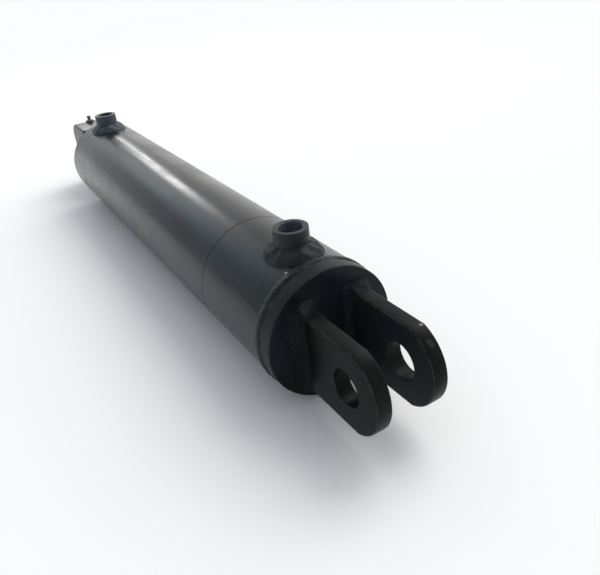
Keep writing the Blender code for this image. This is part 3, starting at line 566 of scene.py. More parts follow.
# Deep blue and waxy, paler along its flow lines
POLYURETHANE = Moulded(
    "cast_polyurethane", Slot.POLYURETHANE, "#1F4E86", "#2A5D97", 1.2, 0.42)
# Brown, flecked with bronze
FILLED_PTFE = Moulded("bronze_filled_ptfe", Slot.PTFE, "#6B4A2E", "#9A6F42", 0.5, 0.5)
# Green, with the cloth showing through
PHENOLIC = Moulded("phenolic_on_cloth", Slot.PHENOLIC, "#3C6247", "#6E8A63", 0.9, 0.55)
# Soft matt black
NITRILE = Moulded("nitrile_rubber", Slot.RUBBER, "#131313", "#1E1E1E", 0.8, 0.55)


def softened(corners: Sequence[Corner], closed: bool, steps: int = 4) -> list[Pair]:
    """Round each corner of an outline by its own radius.

    Args:
        corners: Points as (first, second, radius), where a radius of 0 stays sharp.
        closed: Whether the outline runs on from its last point to its first.
        steps: Segments in each rounded corner.

    Returns:
        The outline's points.
    """
    points: list[Pair] = []
    count = len(corners)
    for index, (first, second, radius) in enumerate(corners):
        corner = Vector((first, second))
        at_end = index in (0, count - 1)
        if not radius or (at_end and not closed):
            points.append((first, second))
            continue
        before = Vector(corners[index - 1][:2]) - corner
        after = Vector(corners[(index + 1) % count][:2]) - corner
        half_angle = before.angle(after) / 2
        cut = radius / math.tan(half_angle)
        start = corner + before.normalized() * cut
        end = corner + after.normalized() * cut
        for step in range(steps + 1):
            part = step / steps
            point = start.lerp(corner, part).lerp(corner.lerp(end, part), part)
            points.append((point.x, point.y))
    return points


def loft(name: str, rings: Rings, closed: bool, sharp_deg: float = SHARP_DEG) -> Mesh:
    """Join rings of points into a closed mesh.

    Args:
        name: The mesh's name.
        rings: Rings with the same number of points.
        closed: Whether the last ring joins the first, or both are capped.
        sharp_deg: Edges that turn by more than this stay sharp.

    Returns:
        The mesh, with its faces pointing out.
    """
    size = len(rings[0])
    points = [point for ring in rings for point in ring]
    faces: list[tuple[int, ...]] = []
    last = len(rings) if closed else len(rings) - 1
    for row in range(last):
        here = row * size
        there = (row + 1) % len(rings) * size
        for index in range(size):
            after = (index + 1) % size
            faces.append((here + index, here + after, there + after, there + index))
    if not closed:
        faces.append(tuple(range(size)))
        faces.append(tuple(range(len(points) - size, len(points))))
    mesh = bpy.data.meshes.new(name)
    mesh.from_pydata(points, [], faces)
    shape = bmesh.new()
    shape.from_mesh(mesh)
    bmesh.ops.recalc_face_normals(shape, faces=shape.faces)
    shape.to_mesh(mesh)
    shape.free()
    mesh.shade_smooth()
    mesh.set_sharp_from_angle(angle=math.radians(sharp_deg))
    return mesh


def turned(
    name: str, profile: Sequence[Pair], segments: int, axis: Axis = Axis.X,
    closed: bool = True, shape: Callable[[float, float, float], float] | None = None,
) -> Mesh:
    """Turn a profile about an axis.

    Args:
        name: The mesh's name.
        profile: Points as (place along the axis, radius).
        segments: Facets round the axis.
        axis: The axis to turn about.
        closed: Whether the profile is a loop, or its two ends are capped.
        shape: Gives a new radius from a place, an angle and a radius.

    Returns:
        The turned mesh.
    """
    rings: Rings = []
    for along, radius in profile:
        ring = []
        for index in range(segments):
            angle = 2 * math.pi * index / segments
            out = shape(along, angle, radius) if shape else radius
            ring.append(axis.point(along, (out * math.cos(angle), out * math.sin(angle))))
        rings.append(ring)
    return loft(name, rings, closed)


def moved(mesh: Mesh, offset: Sequence[float]) -> Mesh:
    """Shift a mesh's points by an offset and return it."""
    mesh.transform(Matrix.Translation(offset))
    return mesh


def add_object(name: str, data: bpy.types.ID) -> Piece:
    """Link a mesh, a light or a camera into the scene.

    Args:
        name: The object's name.
        data: What it shows.

    Returns:
        The object.
    """
    made = bpy.data.objects.new(name, data)
    bpy.context.scene.collection.objects.link(made)
    return made


def carve(piece: Piece, tool_mesh: Mesh, carving: Carving) -> None:
    """Cut a mesh out of a piece, or join it on, for good.

    Args:
        piece: The piece to change.
        tool_mesh: The mesh to cut or join with, which is used up.
        carving: Which of the two.
    """
    tool = add_object(tool_mesh.name, tool_mesh)
    modifier = piece.modifiers.new(tool_mesh.name, "BOOLEAN")
    modifier.operation = carving.value
    modifier.solver = "EXACT"
    modifier.object = tool
    bpy.context.view_layer.update()
    seen = piece.evaluated_get(bpy.context.evaluated_depsgraph_get())
    result = bpy.data.meshes.new_from_object(seen)
    piece.modifiers.clear()
    piece.data = result
    bpy.data.objects.remove(tool, do_unlink=True)
    bpy.data.meshes.remove(tool_mesh)
    result.shade_smooth()
    result.set_sharp_from_angle(angle=math.radians(SHARP_DEG))


def mark_edges(mesh: Mesh) -> None:
    """Mark the narrow faces along a mesh's raised edges, where handling rubs.

    Args:
        mesh: The mesh, which gets the mark as a face attribute.
    """
    least = math.radians(EDGE_TURN_DEG)
    shape = bmesh.new()
    shape.from_mesh(mesh)
    marks = []
    for face in shape.faces:
        long_sides = sorted(face.edges, key=lambda edge: -edge.calc_length())[:2]
        narrow = face.calc_area() < EDGE_WIDTH * long_sides[0].calc_length()
        raised = narrow and all(
            edge.calc_face_angle_signed(0) > least for edge in long_sides)
        marks.append(float(raised))
    shape.free()
    mesh.attributes.new(EDGE_MARK, "FLOAT", "FACE").data.foreach_set("value", marks)


def give_finish(piece: Piece, finish: Finish, body: Body, *stands_for: str) -> None:
    """Give a piece its finish, its body and the frame nodes that it stands for.

    Args:
        piece: The finished piece.
        finish: Its finish, which also names the record's slot.
        body: The body that it moves with.
        *stands_for: The frame's nodes that it replaces.
    """
    if finish.slot is not Slot.WELD:
        mark_edges(piece.data)
    piece.data.materials.clear()
    piece.data.materials.append(material_of(finish))
    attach(piece, body.value)
    if stands_for:
        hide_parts(*stands_for)
    log.info("%s: %d faces on %s", piece.name, len(piece.data.polygons), body.value)


def refinish(piece: Piece, finish: Finish, reached: Callable[[Vector], bool]) -> None:
    """Give a second finish to the faces whose middles are reached by it.

    Args:
        piece: The piece, already finished.
        finish: The second finish.
        reached: Says whether the finish covers a place.
    """
    piece.data.materials.append(material_of(finish))
    for face in piece.data.polygons:
        if reached(face.center):
            face.material_index = 1


def middle_x(node: str) -> float:
    """Return the middle, along X, of a frame node's box."""
    low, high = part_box(node)
    return (low.x + high.x) / 2


def ripples(run: float, part: float, pitch: float) -> float:
    """Return the height, from 0 to 1, of a weld's frozen ripples.

    Args:
        run: Distance along the bead.
        part: Place across the bead, from 0 to 1.
        pitch: Distance between two ripples.

    Returns:
        The height at that place. Each ripple bows forward in the middle.
    """
    bow = RIPPLE_BOW * (1 - (2 * part - 1) ** 2)
    return abs(math.sin(math.pi * (run / pitch - bow)))


def lumps(place: Vector, size: float) -> float:
    """Return smooth noise between about -1 and 1 with humps of a size."""
    return noise.noise(place / size)


@dataclass(frozen=True)
class Waver:
    """An unevenness: how much it adds at most, and the size of its humps.

    The stretch keeps the humps of two wavers on one weld from falling together.
    """

    most: float
    size: float
    stretch: float = 1.0

    def at(self, place: Vector) -> float:
        """Return what the unevenness adds at a place."""
        return self.most * lumps(place * self.stretch, self.size)


@dataclass(frozen=True)
class Station:
    """One place along a fillet weld: its root, its two legs and their directions."""

    root: Vector
    out: Vector
    up: Vector
    out_leg: float
    up_leg: float
    run: float


@dataclass(frozen=True)
class FilletBead:
    """A hand-laid fillet weld with a rippled, lumpy face under the paint."""

    lump: Waver
    belly: float
    grain: Waver = Waver(0.00016, 0.0018)
    ripple_pitch: float = 0.0019
    ripple_height: float = 0.00009
    toe_fade: float = 0.6
    rows: int = 16

    def sweep(
        self, name: str, stations: Sequence[Station],
        seat: Callable[[Vector], Vector] | None = None,
    ) -> Mesh:
        """Sweep the bead along its stations and back to the first.

        Args:
            name: The mesh's name.
            stations: The places along the weld.
            seat: Moves a point from a flat base onto a curved one.

        Returns:
            The bead as a closed mesh.
        """
        rings: Rings = []
        for station in stations:
            ring = []
            for row in range(self.rows + 1):
                ring.append(self.face_point(station, row / self.rows))
            buried = station.root - station.out * SINK - station.up * SINK
            ring.append(ring[-1] - station.up * SINK)
            ring.append(buried)
            ring.append(ring[0] - station.out * SINK)
            if seat:
                ring = [seat(point) for point in ring]
            rings.append(ring)
        return loft(name, rings, closed=True, sharp_deg=WELD_SHARP_DEG)

    def face_point(self, station: Station, part: float) -> Vector:
        """Return a point of the bead's face.

        Args:
            station: The place along the weld.
            part: 0 at the upper toe and 1 at the outer toe.

        Returns:
            The point, with its ripple and its lump.
        """
        rest = 1 - part
        out = 2 * part * rest * self.belly + part ** 2
        up = 2 * part * rest * self.belly + rest ** 2
        place = (
            station.root
            + station.out * station.out_leg * out
            + station.up * station.up_leg * up)
        fade = max(math.sin(math.pi * part), 0.0) ** self.toe_fade
        run = station.run + self.ripple_pitch * lumps(place, 3 * self.ripple_pitch)
        swell = self.ripple_height * ripples(run, part, self.ripple_pitch)
        swell += self.lump.at(place)
        swell += self.grain.at(place)
        return place + (station.out + station.up).normalized() * swell * fade


@dataclass(frozen=True)
class Tube:
    """The barrel tube, its scribed line and the drillings under the ports."""

    start_x: float
    end_x: float
    radius: float
    bore: float
    cap_face_x: float
    drillings: Pair
    weld_bevel: float = 0.0034
    line_from_cap_face: float = 0.1269
    line_width: float = 0.0010
    line_depth: float = 0.0004
    edge_round: float = 0.0008
    drilling_radius: float = 0.008
    drilling_reach: float = 1.1
    drilling_segments: int = 64
    segments: int = 288

    @classmethod
    def on_frame(cls) -> "Tube":
        """Take the tube's sizes from the frame.

        Returns:
            The tube, still to be built.
        """
        low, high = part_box("barrel_tube")
        return cls(
            start_x=low.x, end_x=high.x, radius=high.z,
            bore=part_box("piston_seal")[1].z + CAD_GAP,
            cap_face_x=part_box("base_cap")[0].x,
            drillings=(middle_x("base_port_boss"), middle_x("rod_end_port_boss")))

    def build(self) -> Piece:
        """Make the tube.

        Returns:
            The tube as a piece.
        """
        line = self.cap_face_x + self.line_from_cap_face
        half = self.line_width / 2
        corners = [
            (self.start_x, self.bore, 0),
            (self.start_x + self.weld_bevel, self.radius, 0),
            (line - half, self.radius, 0),
            (line - half / 2, self.radius - self.line_depth, 0),
            (line + half / 2, self.radius - self.line_depth, 0),
            (line + half, self.radius, 0),
            (self.end_x, self.radius, self.edge_round),
            (self.end_x, self.bore, self.edge_round),
        ]
        mesh = turned("barrel_skin", softened(corners, closed=True), self.segments)
        piece = add_object("barrel_skin", mesh)
        through = (self.bore / 2, self.radius * self.drilling_reach)
        profile = [(height, self.drilling_radius) for height in through]
        for x in self.drillings:
            drill = turned(
                "drilling", profile, self.drilling_segments, Axis.Z, closed=False)
            carve(piece, moved(drill, (x, 0, 0)), Carving.CUT)
        return piece

    def dress(self) -> None:
        """Build the tube and finish it."""
        give_finish(self.build(), BARREL_ENAMEL, Body.BARREL, "barrel_tube")


@dataclass(frozen=True)
class BaseCap:
    """The cap's band and spigot, and the rough weld that closes the groove.

    Across the weld come an undercut by the band, a crown and a toe on the barrel. The
    undercut ends and the crown peaks at a share of the width.
    """

    face_x: float
    inner_x: float
    radius: float
    spigot_radius: float
    weld_start_x: float
    weld_end_x: float
    weld_lap: float = 0.0022
    edge_round: float = 0.0009
    undercut: float = 0.0009
    undercut_share: float = 0.16
    crown: float = 0.0011
    crown_share: float = 0.42
    toe_depth: float = 0.0003
    least_bite: float = 0.1
    bite: Waver = Waver(1.8, 0.012)
    swell: Waver = Waver(0.4, 0.009, 1.3)
    wander: Waver = Waver(0.12, 0.011)
    sway: Waver = Waver(0.002, 0.016)
    rough: Waver = Waver(0.00045, 0.0038)
    grain: Waver = Waver(0.0002, 0.0015)
    ripple_pitch: float = 0.0026
    ripple_height: float = 0.00012
    buried_share: float = 0.9
    segments: int = 288
    stations: int = 720
    rows: int = 30

    @classmethod
    def on_frame(cls) -> "BaseCap":
        """Take the cap's sizes from the frame.

        Returns:
            The cap, still to be built.
        """
        low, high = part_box("base_cap")
        weld_low, weld_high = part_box("cap_weld_bead")
        return cls(
            face_x=low.x, inner_x=high.x, radius=high.z,
            spigot_radius=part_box("piston_seal")[1].z, weld_start_x=weld_low.x,
            weld_end_x=weld_high.x)

    def on_band(self, place: Vector) -> bool:
        """Return whether a place is on the band round the cap's face."""
        return math.hypot(place.y, place.z) > self.radius - self.edge_round

    def build_cap(self) -> Piece:
        """Make the cap with its spigot.

        Returns:
            The cap as a piece.
        """
        corners = [
            (self.face_x, self.radius * 0.5, 0),
            (self.face_x, self.radius, self.edge_round),
            (self.weld_start_x + SINK, self.radius, 0),
            (self.weld_start_x + SINK, self.spigot_radius, 0),
            (self.inner_x, self.spigot_radius, self.edge_round),
            (self.inner_x, self.spigot_radius * 0.5, 0),
        ]
        profile = softened(corners, closed=False)
        mesh = turned("cap_skin", profile, self.segments, closed=False)
        return add_object("cap_skin", mesh)

    def weld_height(self, part: float, bite: float, swell: float) -> float:
        """Return the bead's height over the barrel.

        Args:
            part: Place across the bead, 0 at the band and 1 at its toe.
            bite: How deep the undercut is here, as a share of the usual depth.
            swell: How high the crown is here, as a share of the usual height.

        Returns:
            The height, which is below 0 in the undercut.
        """
        deep = -self.undercut * bite
        high = self.crown * swell
        if part < self.undercut_share:
            return deep * math.sin(math.pi / 2 * part / self.undercut_share)
        if part < self.crown_share:
            climb = (part - self.undercut_share) / (self.crown_share - self.undercut_share)
            return deep + (high - deep) * climb * climb * (3 - 2 * climb)
        fall = (part - self.crown_share) / (1 - self.crown_share)
        return high * math.cos(math.pi / 2 * fall) - self.toe_depth * fall

    def build_weld(self) -> Piece:
        """Make the bead between the band and the barrel.

        Returns:
            The bead as a piece.
        """
        end_x = self.weld_end_x + self.weld_lap
        width = end_x - self.weld_start_x
        rings: Rings = []
        for station in range(self.stations):
            angle = 2 * math.pi * station / self.stations
            out = Vector((0, math.cos(angle), math.sin(angle)))
            foot = out * self.radius
            shift = self.wander.at(foot)
            bite = max(1 + self.bite.at(foot), self.least_bite)
            swell = 1 + self.swell.at(foot)
            run = angle * self.radius + self.sway.at(foot)
            ring = []
            for row in range(self.rows + 1):
                part = row / self.rows
                inside = math.sin(math.pi * part)
                across = min(max(part + shift * inside, 0.0), 1.0)
                height = self.weld_height(across, bite, swell)
                place = foot + Vector((width * part, 0, 0))
                rough = self.ripple_height * ripples(run, part, self.ripple_pitch)
                rough += self.rough.at(place) + self.grain.at(place)
                height += rough * math.sqrt(inside)
                x = self.weld_start_x + width * part
                ring.append(Vector((x, 0, 0)) + out * (self.radius + height))
            for x in (end_x, self.weld_start_x):
                ring.append(Vector((x, 0, 0)) + out * self.radius * self.buried_share)
            rings.append(ring)
        mesh = loft("cap_weld", rings, closed=True, sharp_deg=WELD_SHARP_DEG)
        return add_object("cap_weld", mesh)

    def dress(self) -> None:
        """Build the cap and its weld and finish them."""
        cap = self.build_cap()
        give_finish(cap, CAP_ENAMEL, Body.BARREL, "base_cap")
        # The band takes the paler enamel: painted sheen
        refinish(cap, BAND_SHEEN_ENAMEL, self.on_band)
        give_finish(self.build_weld(), CAP_WELD_ENAMEL, Body.BARREL, "cap_weld_bead")


@dataclass(frozen=True)
class Plate:
    """A flat plate with a rounded tip, bored for a pin along Y.

    A corner radius over half the height makes one arc that meets the sides at a
    crease.
    """

    tip: float
    foot: float
    half_height: float
    corner_radius: float
    half_thickness: float
    edge_round: float
    hole_radius: float
    hole_bevel: float = 0.0006
    hole_segments: int = 96
    arc_steps: int = 28
    edge_steps: int = 4

    def outline(self, inset: float) -> list[Pair]:
        """Draw the plate's outline, its tip towards -X.

        Args:
            inset: How far the outline is drawn in.

        Returns:
            The outline's points in x and z.
        """
        radius = self.corner_radius - inset
        centre_x = self.corner_radius - self.tip
        centre_z = max(self.half_height - self.corner_radius, 0.0)
        rise = math.asin(min((self.half_height - inset - centre_z) / radius, 1.0))
        upper = [(self.foot, self.half_height - inset)]
        for step in range(self.arc_steps + 1):
            angle = math.pi - rise * (1 - step / self.arc_steps)
            x = centre_x + radius * math.cos(angle)
            upper.append((x, centre_z + radius * math.sin(angle)))
        return upper + [(x, -z) for x, z in reversed(upper)]

    def rings(self, outline: Callable[[float], list[Pair]]) -> Rings:
        """Lay an outline across the plate, with a rounded edge on both sides.

        Args:
            outline: Draws the outline for an inset.

        Returns:
            The rings, from one cheek to the other.
        """
        levels: list[Pair] = []
        for step in range(self.edge_steps + 1):
            angle = math.pi / 2 * step / self.edge_steps
            inset = self.edge_round * (1 - math.sin(angle))
            y = self.half_thickness - self.edge_round * (1 - math.cos(angle))
            levels.append((y, inset))
        both = levels + [(-y, inset) for y, inset in reversed(levels)]
        return [[Vector((x, y, z)) for x, z in outline(inset)] for y, inset in both]

    def pin_tool(self) -> Mesh:
        """Make the cutter of the pin hole, flared where it meets each cheek.

        Returns:
            The cutter's mesh.
        """
        reach = self.half_thickness
        wide = self.hole_radius + 3 * self.hole_bevel
        profile = [
            (-reach - 2 * self.hole_bevel, wide),
            (self.hole_bevel - reach, self.hole_radius),
            (reach - self.hole_bevel, self.hole_radius),
            (reach + 2 * self.hole_bevel, wide),
        ]
        return turned("pin_tool", profile, self.hole_segments, Axis.Y, closed=False)


@dataclass(frozen=True)
class BaseEars:
    """The two ears of the clevis and the fillet weld round each foot.

    The weld's legs on the cap and along the ear differ outside, inside and at the
    ear's two ends.
    """

    plate: Plate
    middle_y: float
    cap_face_x: float
    bead: FilletBead = FilletBead(lump=Waver(0.0015, 0.008), belly=0.36)
    on_cap_outside: float = 0.0080
    on_cap_inside: float = 0.0050
    on_cap_ends: float = 0.0050
    along_ear: float = 0.0140
    along_ear_inside: float = 0.0060
    cap_waver: Waver = Waver(0.16, 0.014, 1.7)
    ear_waver: Waver = Waver(0.16, 0.019, 1.3)
    station_gap: float = 0.0006
    corner_steps: int = 14

    @classmethod
    def on_frame(cls) -> "BaseEars":
        """Take the ears' sizes from the frame.

        Returns:
            The ears, still to be built.
        """
        low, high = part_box("base_ear_left")
        plate = Plate(
            tip=-low.x, foot=high.x + CAD_GAP + SINK, half_height=high.z,
            corner_radius=-low.x, half_thickness=(high.y - low.y) / 2,
            edge_round=0.0016, hole_radius=PIN_HOLE_RADIUS)
        return cls(plate, middle_y=(high.y + low.y) / 2, cap_face_x=high.x + CAD_GAP)

    def in_pocket(self, place: Vector) -> bool:
        """Return whether a place is on a cheek that faces the other ear."""
        return abs(place.y) < self.middle_y - self.plate.half_thickness + CAD_GAP

    def build_ear(self, name: str, side: Side) -> Piece:
        """Make one ear.

        Args:
            name: The piece's name.
            side: The side that the ear stands on.

        Returns:
            The ear as a piece.
        """
        mesh = loft(name, self.plate.rings(self.plate.outline), closed=False)
        piece = add_object(name, mesh)
        carve(piece, self.plate.pin_tool(), Carving.CUT)
        moved(piece.data, (0, side.value * self.middle_y, 0))
        return piece

    def stations(self) -> list[Station]:
        """Lay out the weld round the foot of the left ear.

        Returns:
            The places along it, in order.
        """
        half_y = self.plate.half_thickness - self.plate.edge_round
        half_z = self.plate.half_height - self.plate.edge_round
        corners = [(half_y, half_z), (-half_y, half_z), (-half_y, -half_z), (half_y, -half_z)]
        found = []
        run = 0.0
        for index, (y, z) in enumerate(corners):
            for step in range(self.corner_steps + 1):
                angle = math.pi / 2 * (index + step / self.corner_steps)
                found.append(self.station(y, z, angle, run))
                run += self.on_cap_ends * math.pi / 2 / self.corner_steps
            next_y, next_z = corners[(index + 1) % 4]
            length = math.hypot(next_y - y, next_z - z)
            steps = round(length / self.station_gap)
            for step in range(1, steps):
                part = step / steps
                between = (y + (next_y - y) * part, z + (next_z - z) * part)
                found.append(self.station(*between, math.pi / 2 * (index + 1), run))
                run += length / steps
        return found

    def station(self, y: float, z: float, angle: float, run: float) -> Station:
        """Work out one place of the weld.

        Args:
            y: The place on the ear's foot, inside its rounded edge.
            z: The same.
            angle: The direction in which the weld faces, from +Y towards +Z.
            run: Distance along the weld.

        Returns:
            The place, its legs uneven as a hand lays them.
        """
        out_y = math.cos(angle)
        out_z = math.sin(angle)
        outside = max(out_y, 0.0) ** 2
        inside = max(-out_y, 0.0) ** 2
        ends = out_z ** 2
        on_cap = (
            self.on_cap_outside * outside
            + self.on_cap_inside * inside
            + self.on_cap_ends * ends)
        along = self.along_ear * (outside + ends) + self.along_ear_inside * inside
        edge = self.plate.edge_round
        root = Vector((
            self.cap_face_x, y + out_y * edge + self.middle_y, z + out_z * edge))
        on_cap *= 1 + self.cap_waver.at(root)
        along *= 1 + self.ear_waver.at(root)
        return Station(
            root, Vector((0, out_y, out_z)), Vector((-1, 0, 0)), on_cap, along, run)

    def build_weld(self, name: str, side: Side) -> Piece:
        """Make the fillet round one ear's foot.

        Args:
            name: The piece's name.
            side: The side that the ear stands on.

        Returns:
            The fillet as a piece.
        """
        mesh = self.bead.sweep(name, self.stations())
        if side is Side.RIGHT:
            mesh.transform(Matrix.Rotation(math.pi, 4, "X"))
        return add_object(name, mesh)

    def dress(self) -> None:
        """Build each ear and its weld and finish them."""
        for side in Side:
            label = side.name.lower()
            ear = self.build_ear(f"{label}_ear_skin", side)
            give_finish(ear, EAR_ENAMEL, Body.BARREL, f"base_ear_{label}")
            # Cheeks and weld inside the pocket take a paler enamel: painted fill light
            refinish(ear, EAR_POCKET_FILL_ENAMEL, self.in_pocket)
            weld = self.build_weld(f"{label}_ear_fillet", side)
            give_finish(weld, EAR_WELD_ENAMEL, Body.BARREL, f"base_ear_{label}_weld")
            refinish(weld, EAR_WELD_POCKET_FILL_ENAMEL, self.in_pocket)


@dataclass(frozen=True)
class PortBoss:
    """A threaded boss, cut to a saddle at its foot, and its fillet weld.

    The weld laps further over the barrel on the side of the base.
    """

    end: PortEnd
    paint: Finish
    weld_paint: Finish
    centre_x: float
    radius: float
    top_z: float
    barrel_radius: float
    weld_out: float
    weld_up: float
    bore: float = 0.01015
    bead: FilletBead = FilletBead(lump=Waver(0.0017, 0.007), belly=0.72)
    out_waver: Waver = Waver(0.1, 0.45)
    up_waver: Waver = Waver(0.12, 0.5, 1.4)
    rim_round: float = 0.0007
    mouth_bevel: float = 0.0010
    mouth_round: float = 0.0002
    thread_pitch: float = 0.0018
    thread_depth: float = 0.0006
    thread_turns: int = 8
    lap: float = 0.4
    segments: int = 144
    weld_stations: int = 260

    @classmethod
    def on_frame(cls, end: PortEnd, paint: Finish, weld_paint: Finish) -> "PortBoss":
        """Take a boss's sizes from the frame.

        Args:
            end: The end of the barrel that it stands at.
            paint: The boss's finish.
            weld_paint: The weld's finish.

        Returns:
            The boss, still to be built.
        """
        low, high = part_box(f"{end.value}_port_boss")
        weld_low, weld_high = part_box(f"{end.value}_port_weld")
        barrel_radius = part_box("barrel_tube")[1].z
        radius = (high.x - low.x) / 2
        return cls(
            end, paint, weld_paint, centre_x=(low.x + high.x) / 2, radius=radius,
            top_z=high.z, barrel_radius=barrel_radius,
            weld_out=(weld_high.x - weld_low.x) / 2 - radius,
            weld_up=weld_high.z - barrel_radius)

    def saddle(self, point: Vector, lift: float) -> Vector:
        """Return a point at the barrel's own height under it, plus a lift."""
        reach = self.barrel_radius + lift
        return Vector((point.x, point.y, math.sqrt(reach ** 2 - point.y ** 2)))

    def in_bore(self, place: Vector) -> bool:
        """Return whether a place is on the wall of the threaded bore."""
        across = math.hypot(place.x - self.centre_x, place.y)
        return across < self.bore + self.thread_depth and place.z < self.top_z

    def build_boss(self) -> Piece:
        """Make the boss.

        Returns:
            The boss as a piece.
        """
        foot = self.barrel_radius * 0.5
        corners: list[Corner] = [
            (foot, self.radius, 0),
            (self.top_z, self.radius, self.rim_round),
            (self.top_z, self.bore + self.mouth_bevel, self.mouth_round),
        ]
        height = self.top_z - self.mouth_bevel
        for _ in range(self.thread_turns):
            corners.append((height, self.bore, 0))
            height -= self.thread_pitch / 2
            corners.append((height, self.bore + self.thread_depth, 0))
            height -= self.thread_pitch / 2
        corners.append((height, self.bore, 0))
        corners.append((foot, self.bore, 0))
        profile = softened(corners, closed=True)
        rings: Rings = []
        for level, radius in profile:
            ring = []
            for index in range(self.segments):
                angle = 2 * math.pi * index / self.segments
                point = Vector((radius * math.cos(angle), radius * math.sin(angle), level))
                ring.append(self.saddle(point, -SINK) if level == foot else point)
            rings.append(ring)
        name = f"{self.end.value}_boss_skin"
        mesh = loft(name, rings, closed=True)
        return add_object(name, moved(mesh, (self.centre_x, 0, 0)))

    def build_weld(self) -> Piece:
        """Make the saddle-shaped fillet round the boss.

        Returns:
            The fillet as a piece.
        """
        stations = []
        for index in range(self.weld_stations):
            angle = 2 * math.pi * index / self.weld_stations
            out = Vector((math.cos(angle), math.sin(angle), 0))
            wide = 1 + self.out_waver.at(out)
            wide += self.lap * max(-out.x, 0.0) ** 2
            high = 1 + self.up_waver.at(out)
            stations.append(Station(
                out * self.radius, out, Vector((0, 0, 1)), self.weld_out * wide,
                self.weld_up * high, angle * (self.radius + self.weld_out / 2)))

        def seat(point: Vector) -> Vector:
            """Lift a point from a flat base onto the round barrel."""
            return self.saddle(point, point.z)

        name = f"{self.end.value}_boss_fillet"
        mesh = self.bead.sweep(name, stations, seat)
        return add_object(name, moved(mesh, (self.centre_x, 0, 0)))

    def dress(self) -> None:
        """Build the boss and its weld and finish them."""
        boss = self.build_boss()
        give_finish(boss, self.paint, Body.BARREL, f"{self.end.value}_port_boss")
        refinish(boss, BARE_THREAD, self.in_bore)
        weld = self.build_weld()
        give_finish(weld, self.weld_paint, Body.BARREL, f"{self.end.value}_port_weld")


